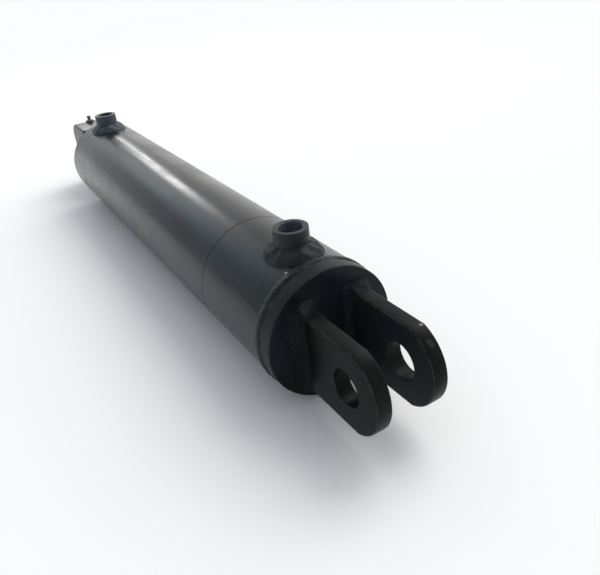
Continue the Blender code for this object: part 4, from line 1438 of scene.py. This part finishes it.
@dataclass(frozen=True)
class RodEye:
    """The forged eye on the rod's end and the bead that joins them."""

    plate: Plate
    pin_x: float
    rod_end_x: float
    rod_radius: float
    neck_step: float = 0.0004
    neck_cover: float = 0.002
    neck_segments: int = 128
    weld_bevel: float = 0.0050
    weld_crown: float = 0.0011
    weld_fullness: float = 0.7
    weld_root: float = 0.0040
    weld_rows: int = 16
    weld_segments: int = 400
    weld_lump: Waver = Waver(0.0003, 0.006)
    ripple_pitch: float = 0.0025
    ripple_height: float = 0.0002
    block_from_weld: float = 0.0062
    block_rise: float = 0.0115
    block_round: float = 0.003
    shoulder_half_height: float = 0.027
    grease_radius: float = 0.004
    grease_reach: float = 1.2
    grease_segments: int = 32

    @classmethod
    def on_frame(cls) -> "RodEye":
        """Take the eye's sizes from the frame.

        Returns:
            The eye, still to be built.
        """
        rod_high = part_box("piston_rod")[1]
        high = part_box("rod_eye")[1]
        pin_x = middle_x("grease_nipple")
        half_flat_tip = 0.0115
        plate = Plate(
            tip=high.x - pin_x, foot=0.0, half_height=high.z,
            corner_radius=high.z - half_flat_tip, half_thickness=high.y,
            edge_round=0.0032, hole_radius=PIN_HOLE_RADIUS, edge_steps=6)
        return cls(plate, pin_x, rod_end_x=rod_high.x, rod_radius=rod_high.z)

    @property
    def neck_radius(self) -> float:
        """The neck's radius, a step under the rod's."""
        return self.rod_radius - self.neck_step

    def build_eye(self) -> Piece:
        """Make the eye with its neck and its holes.

        Returns:
            The eye as a piece.
        """
        neck_x = self.rod_end_x - self.pin_x
        block_x = neck_x + self.block_from_weld
        full_x = block_x + self.block_rise

        def outline(inset: float) -> list[Pair]:
            """Draw the block's outline, its shoulders sloping to the neck.

            Args:
                inset: How far the outline is drawn in.

            Returns:
                The outline's points in x and z.
            """
            tip = self.plate.outline(inset)[1:-1]
            shoulder = self.shoulder_half_height - inset
            side = self.plate.half_height - inset
            corners: list[Corner] = [(block_x, -shoulder, 0)]
            corners.append((full_x, -side, self.block_round))
            corners += [(-x, z, 0) for x, z in reversed(tip)]
            corners.append((full_x, side, self.block_round))
            corners.append((block_x, shoulder, 0))
            return softened(corners, closed=False)

        mesh = loft("rod_eye_skin", self.plate.rings(outline), closed=False)
        piece = add_object("rod_eye_skin", mesh)
        profile = [
            (neck_x, self.neck_radius - self.weld_bevel),
            (neck_x + self.weld_bevel, self.neck_radius),
            (block_x - self.neck_cover, self.neck_radius),
            (full_x, self.neck_radius),
        ]
        neck = turned("neck", profile, self.neck_segments, closed=False)
        carve(piece, neck, Carving.JOIN)
        carve(piece, self.plate.pin_tool(), Carving.CUT)
        drilling = [
            (self.plate.hole_radius / 2, self.grease_radius),
            (self.plate.half_height * self.grease_reach, self.grease_radius),
        ]
        drill = turned(
            "grease_drilling", drilling, self.grease_segments, Axis.Z, closed=False)
        carve(piece, drill, Carving.CUT)
        moved(piece.data, (self.pin_x, 0, 0))
        return piece

    def build_bead(self) -> Piece:
        """Make the bead that joins the eye to the rod.

        Returns:
            The bead as a piece.
        """
        half = self.weld_bevel
        profile = []
        for row in range(self.weld_rows + 1):
            part = row / self.weld_rows
            swell = self.weld_crown * math.sin(math.pi * part) ** self.weld_fullness
            x = self.rod_end_x + half * (2 * part - 1)
            profile.append((x, self.neck_radius - SINK + swell + SINK * (1 - part)))
        profile.append((self.rod_end_x, self.rod_radius - self.weld_root))

        def rough(along: float, angle: float, radius: float) -> float:
            """Lay ripples and lumps over the bead's face.

            Args:
                along: The place along X.
                angle: The place round X.
                radius: The radius of the smooth bead.

            Returns:
                The radius of the rough bead.
            """
            part = (along - self.rod_end_x) / (2 * half) + 0.5
            if radius < self.neck_radius - 2 * SINK:
                return radius
            fade = math.sqrt(math.sin(math.pi * min(max(part, 0.0), 1.0)))
            place = Vector((along, radius * math.cos(angle), radius * math.sin(angle)))
            ripple = ripples(angle * self.rod_radius, part, self.ripple_pitch)
            swell = self.ripple_height * ripple + self.weld_lump.at(place)
            return radius + swell * fade

        mesh = turned("rod_eye_bead", profile, self.weld_segments, shape=rough)
        return add_object("rod_eye_bead", mesh)

    def dress(self) -> None:
        """Build the eye and its bead and finish them."""
        give_finish(self.build_eye(), FORGED_ENAMEL, Body.ROD, "rod_eye")
        give_finish(self.build_bead(), EYE_WELD_ENAMEL, Body.ROD, "rod_eye_weld")


@dataclass(frozen=True)
class GreaseNipple:
    """The nipple over the rod eye's pin hole: a stem, a hexagon and a ball on a neck.

    The depths of its upper part are measured down from its top.
    """

    x: float
    seat_z: float
    top_z: float
    stem_radius: float = 0.0036
    stem_depth: float = 0.006
    seat_gap: float = 0.0001
    seat_round: float = 0.0002
    across_flats: float = 0.011
    flats_margin: float = 0.0005
    hexagon_height: float = 0.0034
    shoulder_round: float = 0.0004
    collar_round: float = 0.0003
    neck_depth: float = 0.0036
    neck_radius: float = 0.0023
    neck_round: float = 0.0005
    ball_depth: float = 0.0024
    ball_radius: float = 0.0033
    crown_depth: float = 0.0008
    crown_round: float = 0.0006
    mouth_radius: float = 0.00138
    segments: int = 96

    @classmethod
    def on_frame(cls) -> "GreaseNipple":
        """Take the nipple's place and height from the frame.

        Returns:
            The nipple, still to be built.
        """
        return cls(
            x=middle_x("grease_nipple"), seat_z=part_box("rod_eye")[1].z,
            top_z=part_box("grease_nipple")[1].z)

    def build(self) -> Piece:
        """Make the nipple.

        Returns:
            The nipple as a piece.
        """
        base = self.seat_z + self.seat_gap
        hex_top = self.seat_z + self.hexagon_height
        flats = self.across_flats / 2
        corners = [
            (self.seat_z - self.stem_depth, self.stem_radius, 0),
            (base, self.stem_radius, 0),
            (base, flats, self.seat_round),
            (hex_top, flats, self.shoulder_round),
            (hex_top, self.ball_radius, self.collar_round),
            (self.top_z - self.neck_depth, self.neck_radius, self.neck_round),
            (self.top_z - self.ball_depth, self.ball_radius, self.shoulder_round),
            (self.top_z - self.crown_depth, self.ball_radius, self.crown_round),
            (self.top_z, self.mouth_radius, 0),
        ]

        def six_sided(along: float, angle: float, radius: float) -> float:
            """Turn the widest stretch into a hexagon.

            Args:
                along: The place along Z.
                angle: The place round Z.
                radius: The radius of the round nipple.

            Returns:
                The radius there.
            """
            if radius < flats - self.flats_margin or along > hex_top:
                return radius
            from_flat = (angle + math.pi / 6) % (math.pi / 3) - math.pi / 6
            return radius / math.cos(from_flat)

        mesh = turned(
            "grease_fitting", softened(corners, closed=False), self.segments, Axis.Z,
            closed=False, shape=six_sided)
        return add_object("grease_fitting", moved(mesh, (self.x, 0, 0)))

    def dress(self) -> None:
        """Build the nipple and finish it."""
        give_finish(self.build(), ZINC_PLATE, Body.ROD, "grease_nipple")


@dataclass(frozen=True)
class Rod:
    """The chromed rod, with the stepped end that carries the piston."""

    start_x: float
    end_x: float
    radius: float
    nut_end_x: float
    shoulder_x: float
    thread_radius: float = 0.018
    spigot_radius: float = 0.020
    weld_bevel: float = 0.0050
    lead: float = 0.0015
    segments: int = 256

    @classmethod
    def on_frame(cls) -> "Rod":
        """Take the rod's sizes from the frame.

        Returns:
            The rod, still to be built.
        """
        low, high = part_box("piston_rod")
        return cls(
            start_x=low.x, end_x=high.x, radius=high.z,
            nut_end_x=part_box("piston_nut")[1].x + CAD_GAP,
            shoulder_x=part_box("piston")[1].x + CAD_GAP)

    def build(self) -> Piece:
        """Make the rod.

        Returns:
            The rod as a piece.
        """
        corners = [
            (self.start_x, self.thread_radius * 0.5, 0),
            (self.start_x, self.thread_radius, self.lead / 2),
            (self.nut_end_x, self.thread_radius, 0),
            (self.nut_end_x, self.spigot_radius, 0),
            (self.shoulder_x, self.spigot_radius, 0),
            (self.shoulder_x, self.radius, self.lead / 2),
            (self.end_x - self.weld_bevel, self.radius, 0),
            (self.end_x, self.radius - self.weld_bevel, 0),
        ]
        profile = softened(corners, closed=False)
        mesh = turned("rod_skin", profile, self.segments, closed=False)
        return add_object("rod_skin", mesh)

    def dress(self) -> None:
        """Build the rod and finish it."""
        give_finish(self.build(), HARD_CHROME, Body.ROD, "piston_rod")


@dataclass(frozen=True)
class GlandFace:
    """The two gland pieces that show at the barrel's mouth."""

    ring_start_x: float
    ring_end_x: float
    ring_outer: float
    wiper_start_x: float
    wiper_end_x: float
    wiper_outer: float
    rod_radius: float
    ring_width: float = 0.005
    ring_round: float = 0.0003
    ring_gap_deg: float = 22.0
    ring_steps: int = 180
    wiper_back_round: float = 0.0003
    wiper_front_round: float = 0.0004
    wiper_segments: int = 192
    lip: float = 0.0018
    lip_round: float = 0.0002
    lip_edge_round: float = 0.0001

    @classmethod
    def on_frame(cls) -> "GlandFace":
        """Take the sizes of both pieces from the frame.

        Returns:
            The two pieces, still to be built.
        """
        ring_low, ring_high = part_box("gland_retaining_ring")
        wiper_low, wiper_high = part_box("rod_wiper")
        return cls(
            ring_start_x=ring_low.x, ring_end_x=ring_high.x, ring_outer=ring_high.z,
            wiper_start_x=wiper_low.x, wiper_end_x=wiper_high.x,
            wiper_outer=wiper_high.z, rod_radius=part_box("piston_rod")[1].z)

    def build_ring(self) -> Piece:
        """Make the split retaining ring, its gap at the bottom.

        Returns:
            The ring as a piece.
        """
        inner = self.ring_outer - self.ring_width
        corners = [
            (self.ring_start_x, inner, self.ring_round),
            (self.ring_start_x, self.ring_outer, self.ring_round),
            (self.ring_end_x, self.ring_outer, self.ring_round),
            (self.ring_end_x, inner, self.ring_round),
        ]
        section = softened(corners, closed=True)
        gap = math.radians(self.ring_gap_deg)
        rings: Rings = []
        for step in range(self.ring_steps + 1):
            angle = gap / 2 + (2 * math.pi - gap) * step / self.ring_steps - math.pi / 2
            rings.append([
                Vector((x, r * math.cos(angle), r * math.sin(angle))) for x, r in section])
        return add_object("snap_ring", loft("snap_ring", rings, closed=False))

    def build_wiper(self) -> Piece:
        """Make the wiper with its lip on the rod.

        Returns:
            The wiper as a piece.
        """
        bore = self.rod_radius + CAD_GAP
        body_end = self.wiper_end_x - self.lip
        depth = self.wiper_outer - bore
        corners = [
            (self.wiper_start_x, bore + depth / 4, self.wiper_back_round),
            (self.wiper_start_x, self.wiper_outer, self.wiper_back_round),
            (body_end, self.wiper_outer, self.wiper_front_round),
            (body_end, bore + depth / 2, self.wiper_front_round),
            (self.wiper_end_x, bore + depth / 6, self.lip_round),
            (self.wiper_end_x, bore, self.lip_edge_round),
            (body_end, bore, 0),
        ]
        profile = softened(corners, closed=True)
        return add_object("wiper_skin", turned("wiper_skin", profile, self.wiper_segments))

    def dress(self) -> None:
        """Build the ring and the wiper and finish them."""
        ring = self.build_ring()
        give_finish(ring, SPRING_STEEL, Body.BARREL, "gland_retaining_ring")
        give_finish(self.build_wiper(), NITRILE, Body.BARREL, "rod_wiper")


@dataclass(frozen=True)
class Spatter:
    """The bright bead of spatter that sits by the near boss's weld."""

    x: float = 0.0846
    from_top_deg: float = 22.5
    above_tube: float = 0.0005
    radius: float = 0.0011
    stretch_x: float = 1.3
    rough: Waver = Waver(0.1, 0.0012)

    def dress(self) -> None:
        """Make the bead, set it on the barrel and finish it."""
        shape = bmesh.new()
        bmesh.ops.create_icosphere(shape, subdivisions=4, radius=self.radius)
        for point in shape.verts:
            point.co *= 1 + self.rough.at(point.co)
            point.co.x *= self.stretch_x
        mesh = bpy.data.meshes.new("weld_spatter")
        shape.to_mesh(mesh)
        shape.free()
        mesh.shade_smooth()
        angle = math.radians(self.from_top_deg)
        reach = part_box("barrel_tube")[1].z + self.above_tube
        moved(mesh, (self.x, reach * math.sin(angle), reach * math.cos(angle)))
        give_finish(add_object("weld_spatter", mesh), SPATTER_STEEL, Body.BARREL)


@dataclass(frozen=True)
class InnerPieces:
    """The frame's own pieces inside the barrel, which keep their shapes."""

    finishes: tuple[tuple[str, Finish], ...] = (
        ("gland", GREY_IRON),
        ("gland_o_ring", NITRILE),
        ("gland_backup_ring", POLYURETHANE),
        ("rod_guide_ring", PHENOLIC),
        ("rod_buffer_seal", FILLED_PTFE),
        ("rod_seal", POLYURETHANE),
        ("piston_guide_ring_rear", PHENOLIC),
        ("piston_guide_ring_front", PHENOLIC),
        ("piston_seal", FILLED_PTFE),
        ("piston_seal_energiser", NITRILE),
        ("piston", GREY_IRON),
        ("piston_o_ring", NITRILE),
        ("piston_nut", TURNED_STEEL),
    )

    def dress(self) -> None:
        """Give each piece its finish."""
        for name, finish in self.finishes:
            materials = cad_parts[name].data.materials
            materials.clear()
            materials.append(material_of(finish))
            log.info("%s: %s", name, finish.name)


@dataclass(frozen=True)
class Glow:
    """A brighter patch of the room: where it is, how wide and how bright."""

    azimuth_deg: float
    elevation_deg: float
    full_deg: float
    end_deg: float
    level: float

    def way(self) -> Place:
        """Return the direction from the cylinder to the patch.

        Returns:
            The direction, as a unit vector.
        """
        turn = math.radians(self.azimuth_deg)
        rise = math.radians(self.elevation_deg)
        flat = math.cos(rise)
        return flat * math.cos(turn), flat * math.sin(turn), math.sin(rise)

    def edge(self) -> Pair:
        """Return the cosines of the angles at which the patch starts and is full."""
        return math.cos(math.radians(self.end_deg)), math.cos(math.radians(self.full_deg))


@dataclass(frozen=True)
class Softbox:
    """A soft rectangular lamp: where it hangs, what it faces, its size and light."""

    name: str
    place: Place
    target: Place
    size: Pair
    watts: float
    colour: str


@dataclass(frozen=True)
class Studio:
    """The pale floor, the soft light and the camera at the photograph's place.

    The room's level rises along room_lean between its least and its most. Its
    colour turns from cool to warm over a range of that level.
    """

    floor_z: float
    floor_half: float = 30.0
    floor_colours: tuple[str, str] = ("#FAFAFA", "#FCFCFC")
    floor_grain_mm: float = 400.0
    floor_roughness: float = 0.9
    room_lean: Place = (0.19, -0.70, 0.0)
    room_level: float = 0.72
    room_least: float = 0.52
    room_most: float = 1.5
    warm_range: Pair = (0.4, 1.1)
    cool_colour: str = "#E6ECF8"
    warm_colour: str = "#FFFEFA"
    glow_colour: str = "#D6E8EE"
    high_place: Place = (0.35, -1.5, 1.9)
    high_angle_deg: float = 40.0
    high_strength: float = 1.05
    glows: tuple[Glow, ...] = (
        Glow(14.0, 29.0, 6.0, 15.0, 0.85),
        Glow(37.0, 17.0, 5.0, 17.0, 0.45),
    )
    softboxes: tuple[Softbox, ...] = (
        Softbox(
            "window", place=(2.20, -0.247, 0.764), target=(0.40, 0.0, 0.055),
            size=(0.224, 0.271), watts=2.4, colour="#FFFFFF"),
        Softbox(
            "side_panel", place=(2.09, 0.18, 0.80), target=(0.35, 0.0, 0.055),
            size=(0.45, 0.60), watts=0.8, colour="#DCEFF2"),
    )
    camera_place: Place = (-0.27733, 0.20198, 0.27365)
    yaw_deg: float = -27.7387
    pitch_deg: float = -30.1098
    roll_deg: float = -7.1705
    lens_mm: float = 36.185
    sensor_mm: float = 36.0
    near_clip: float = 0.01
    far_clip: float = 200.0

    @classmethod
    def on_frame(cls) -> "Studio":
        """Return a studio whose floor is just under the lowest weld."""
        return cls(floor_z=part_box("cap_weld_bead")[0].z - CAD_GAP)

    def build(self) -> None:
        """Make the floor, the lights and the camera."""
        self.build_floor()
        self.build_world()
        self.build_sun()
        for softbox in self.softboxes:
            self.add_softbox(softbox)
        self.build_camera()

    def build_floor(self) -> None:
        """Make the floor."""
        half = self.floor_half
        corners = [(-half, -half), (half, -half), (half, half), (-half, half)]
        mesh = bpy.data.meshes.new("floor")
        mesh.from_pydata([(x, y, self.floor_z) for x, y in corners], [], [(0, 1, 2, 3)])
        material, tree, shader, place = new_material("matt_white_board")
        shader.inputs["Roughness"].default_value = self.floor_roughness
        shader.inputs["Specular IOR Level"].default_value = 0.0
        grain = add_node(
            tree, "TexNoise", {"Scale": per_metre(self.floor_grain_mm)}, {"Vector": place})
        board, fibre = self.floor_colours
        colour = add_node(
            tree, "Mix", {6: linear(board), 7: linear(fibre)},
            {0: grain.outputs["Fac"]}, data_type="RGBA")
        tree.links.new(colour.outputs[2], shader.inputs["Base Color"])
        mesh.materials.append(material)
        add_object("floor", mesh)

    def build_world(self) -> None:
        """Light the room evenly, a little more from the rod end and the right."""
        world = bpy.data.worlds.new("soft_room")
        world.use_nodes = True
        tree = world.node_tree
        background = tree.nodes["Background"]
        way = add_node(tree, "TexCoord").outputs["Generated"]
        lean = add_node(
            tree, "VectorMath", {1: self.room_lean}, {0: way}, operation="DOT_PRODUCT")
        level = add_node(
            tree, "Math", {1: self.room_level}, {0: lean.outputs["Value"]},
            operation="ADD")
        strength = add_node(
            tree, "Clamp", {"Min": self.room_least, "Max": self.room_most},
            {"Value": level.outputs["Value"]}).outputs["Result"]
        warmth = add_node(
            tree, "MapRange", dict(zip(MAP_FROM, self.warm_range)), {"Value": strength})
        colour = add_node(
            tree, "Mix", {6: linear(self.cool_colour), 7: linear(self.warm_colour)},
            {0: warmth.outputs["Result"]}, data_type="RGBA").outputs[2]
        for glow in self.glows:
            near = add_node(
                tree, "VectorMath", {1: glow.way()}, {0: way}, operation="DOT_PRODUCT")
            share = add_node(
                tree, "MapRange", dict(zip(MAP_FROM, glow.edge())),
                {"Value": near.outputs["Value"]},
                interpolation_type="SMOOTHSTEP").outputs["Result"]
            strength = add_node(
                tree, "Math", {1: glow.level}, {0: share, 2: strength},
                operation="MULTIPLY_ADD").outputs["Value"]
            colour = add_node(
                tree, "Mix", {7: linear(self.glow_colour)}, {0: share, 6: colour},
                data_type="RGBA").outputs[2]
        tree.links.new(strength, background.inputs["Strength"])
        tree.links.new(colour, background.inputs["Color"])
        bpy.context.scene.world = world

    def build_sun(self) -> None:
        """Add the broad soft light that hangs high over the right side."""
        light = bpy.data.lights.new("high_softbox", "SUN")
        light.angle = math.radians(self.high_angle_deg)
        light.energy = self.high_strength
        self.hang(add_object("high_softbox", light), self.high_place, (0.0, 0.0, 0.0))

    def add_softbox(self, softbox: Softbox) -> None:
        """Add a soft rectangular lamp, which the camera doesn't see.

        Args:
            softbox: The lamp's facts.
        """
        light = bpy.data.lights.new(softbox.name, "AREA")
        light.color = linear(softbox.colour)[:3]
        light.shape = "RECTANGLE"
        light.size, light.size_y = softbox.size
        light.energy = softbox.watts
        lamp = add_object(softbox.name, light)
        self.hang(lamp, softbox.place, softbox.target)
        lamp.visible_camera = False

    def hang(self, lamp: Piece, place: Place, target: Place) -> None:
        """Hang a lamp and turn it to its target.

        Args:
            lamp: The lamp.
            place: Where it hangs.
            target: What it faces.
        """
        lamp.location = place
        aim = Vector(target) - Vector(place)
        lamp.rotation_euler = aim.to_track_quat("-Z", "Y").to_euler()

    def build_camera(self) -> None:
        """Set the camera to the place and turn that the photograph gives."""
        yaw = math.radians(self.yaw_deg)
        pitch = math.radians(self.pitch_deg)
        roll = math.radians(self.roll_deg)
        flat = math.cos(pitch)
        ahead = Vector((flat * math.cos(yaw), flat * math.sin(yaw), math.sin(pitch)))
        right = ahead.cross(Vector((0, 0, 1))).normalized()
        up = right.cross(ahead)
        right, up = (
            math.cos(roll) * right + math.sin(roll) * up,
            math.cos(roll) * up - math.sin(roll) * right)
        turn = Matrix((right, up, -ahead)).transposed().to_4x4()
        lens = bpy.data.cameras.new("photo_camera")
        lens.lens = self.lens_mm
        lens.sensor_width = self.sensor_mm
        lens.clip_start = self.near_clip
        lens.clip_end = self.far_clip
        camera = add_object("photo_camera", lens)
        camera.matrix_world = Matrix.Translation(self.camera_place) @ turn
        bpy.context.scene.camera = camera


def main() -> None:
    """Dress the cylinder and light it."""
    logging.basicConfig(level=logging.INFO, format="%(message)s")
    bpy.context.scene.view_settings.view_transform = "Standard"
    assemblies = (
        Tube.on_frame(),
        BaseCap.on_frame(),
        BaseEars.on_frame(),
        PortBoss.on_frame(PortEnd.BASE, BASE_BOSS_ENAMEL, BASE_WELD_ENAMEL),
        # The rod-end boss and its weld carry painted glare in their enamel
        PortBoss.on_frame(PortEnd.ROD, ROD_END_BOSS_GLARE_ENAMEL, ROD_END_WELD_GLARE_ENAMEL),
        Rod.on_frame(),
        RodEye.on_frame(),
        GreaseNipple.on_frame(),
        GlandFace.on_frame(),
        Spatter(),
        InnerPieces(),
    )
    for assembly in assemblies:
        assembly.dress()
    Studio.on_frame().build()


if __name__ == "__main__":
    main()
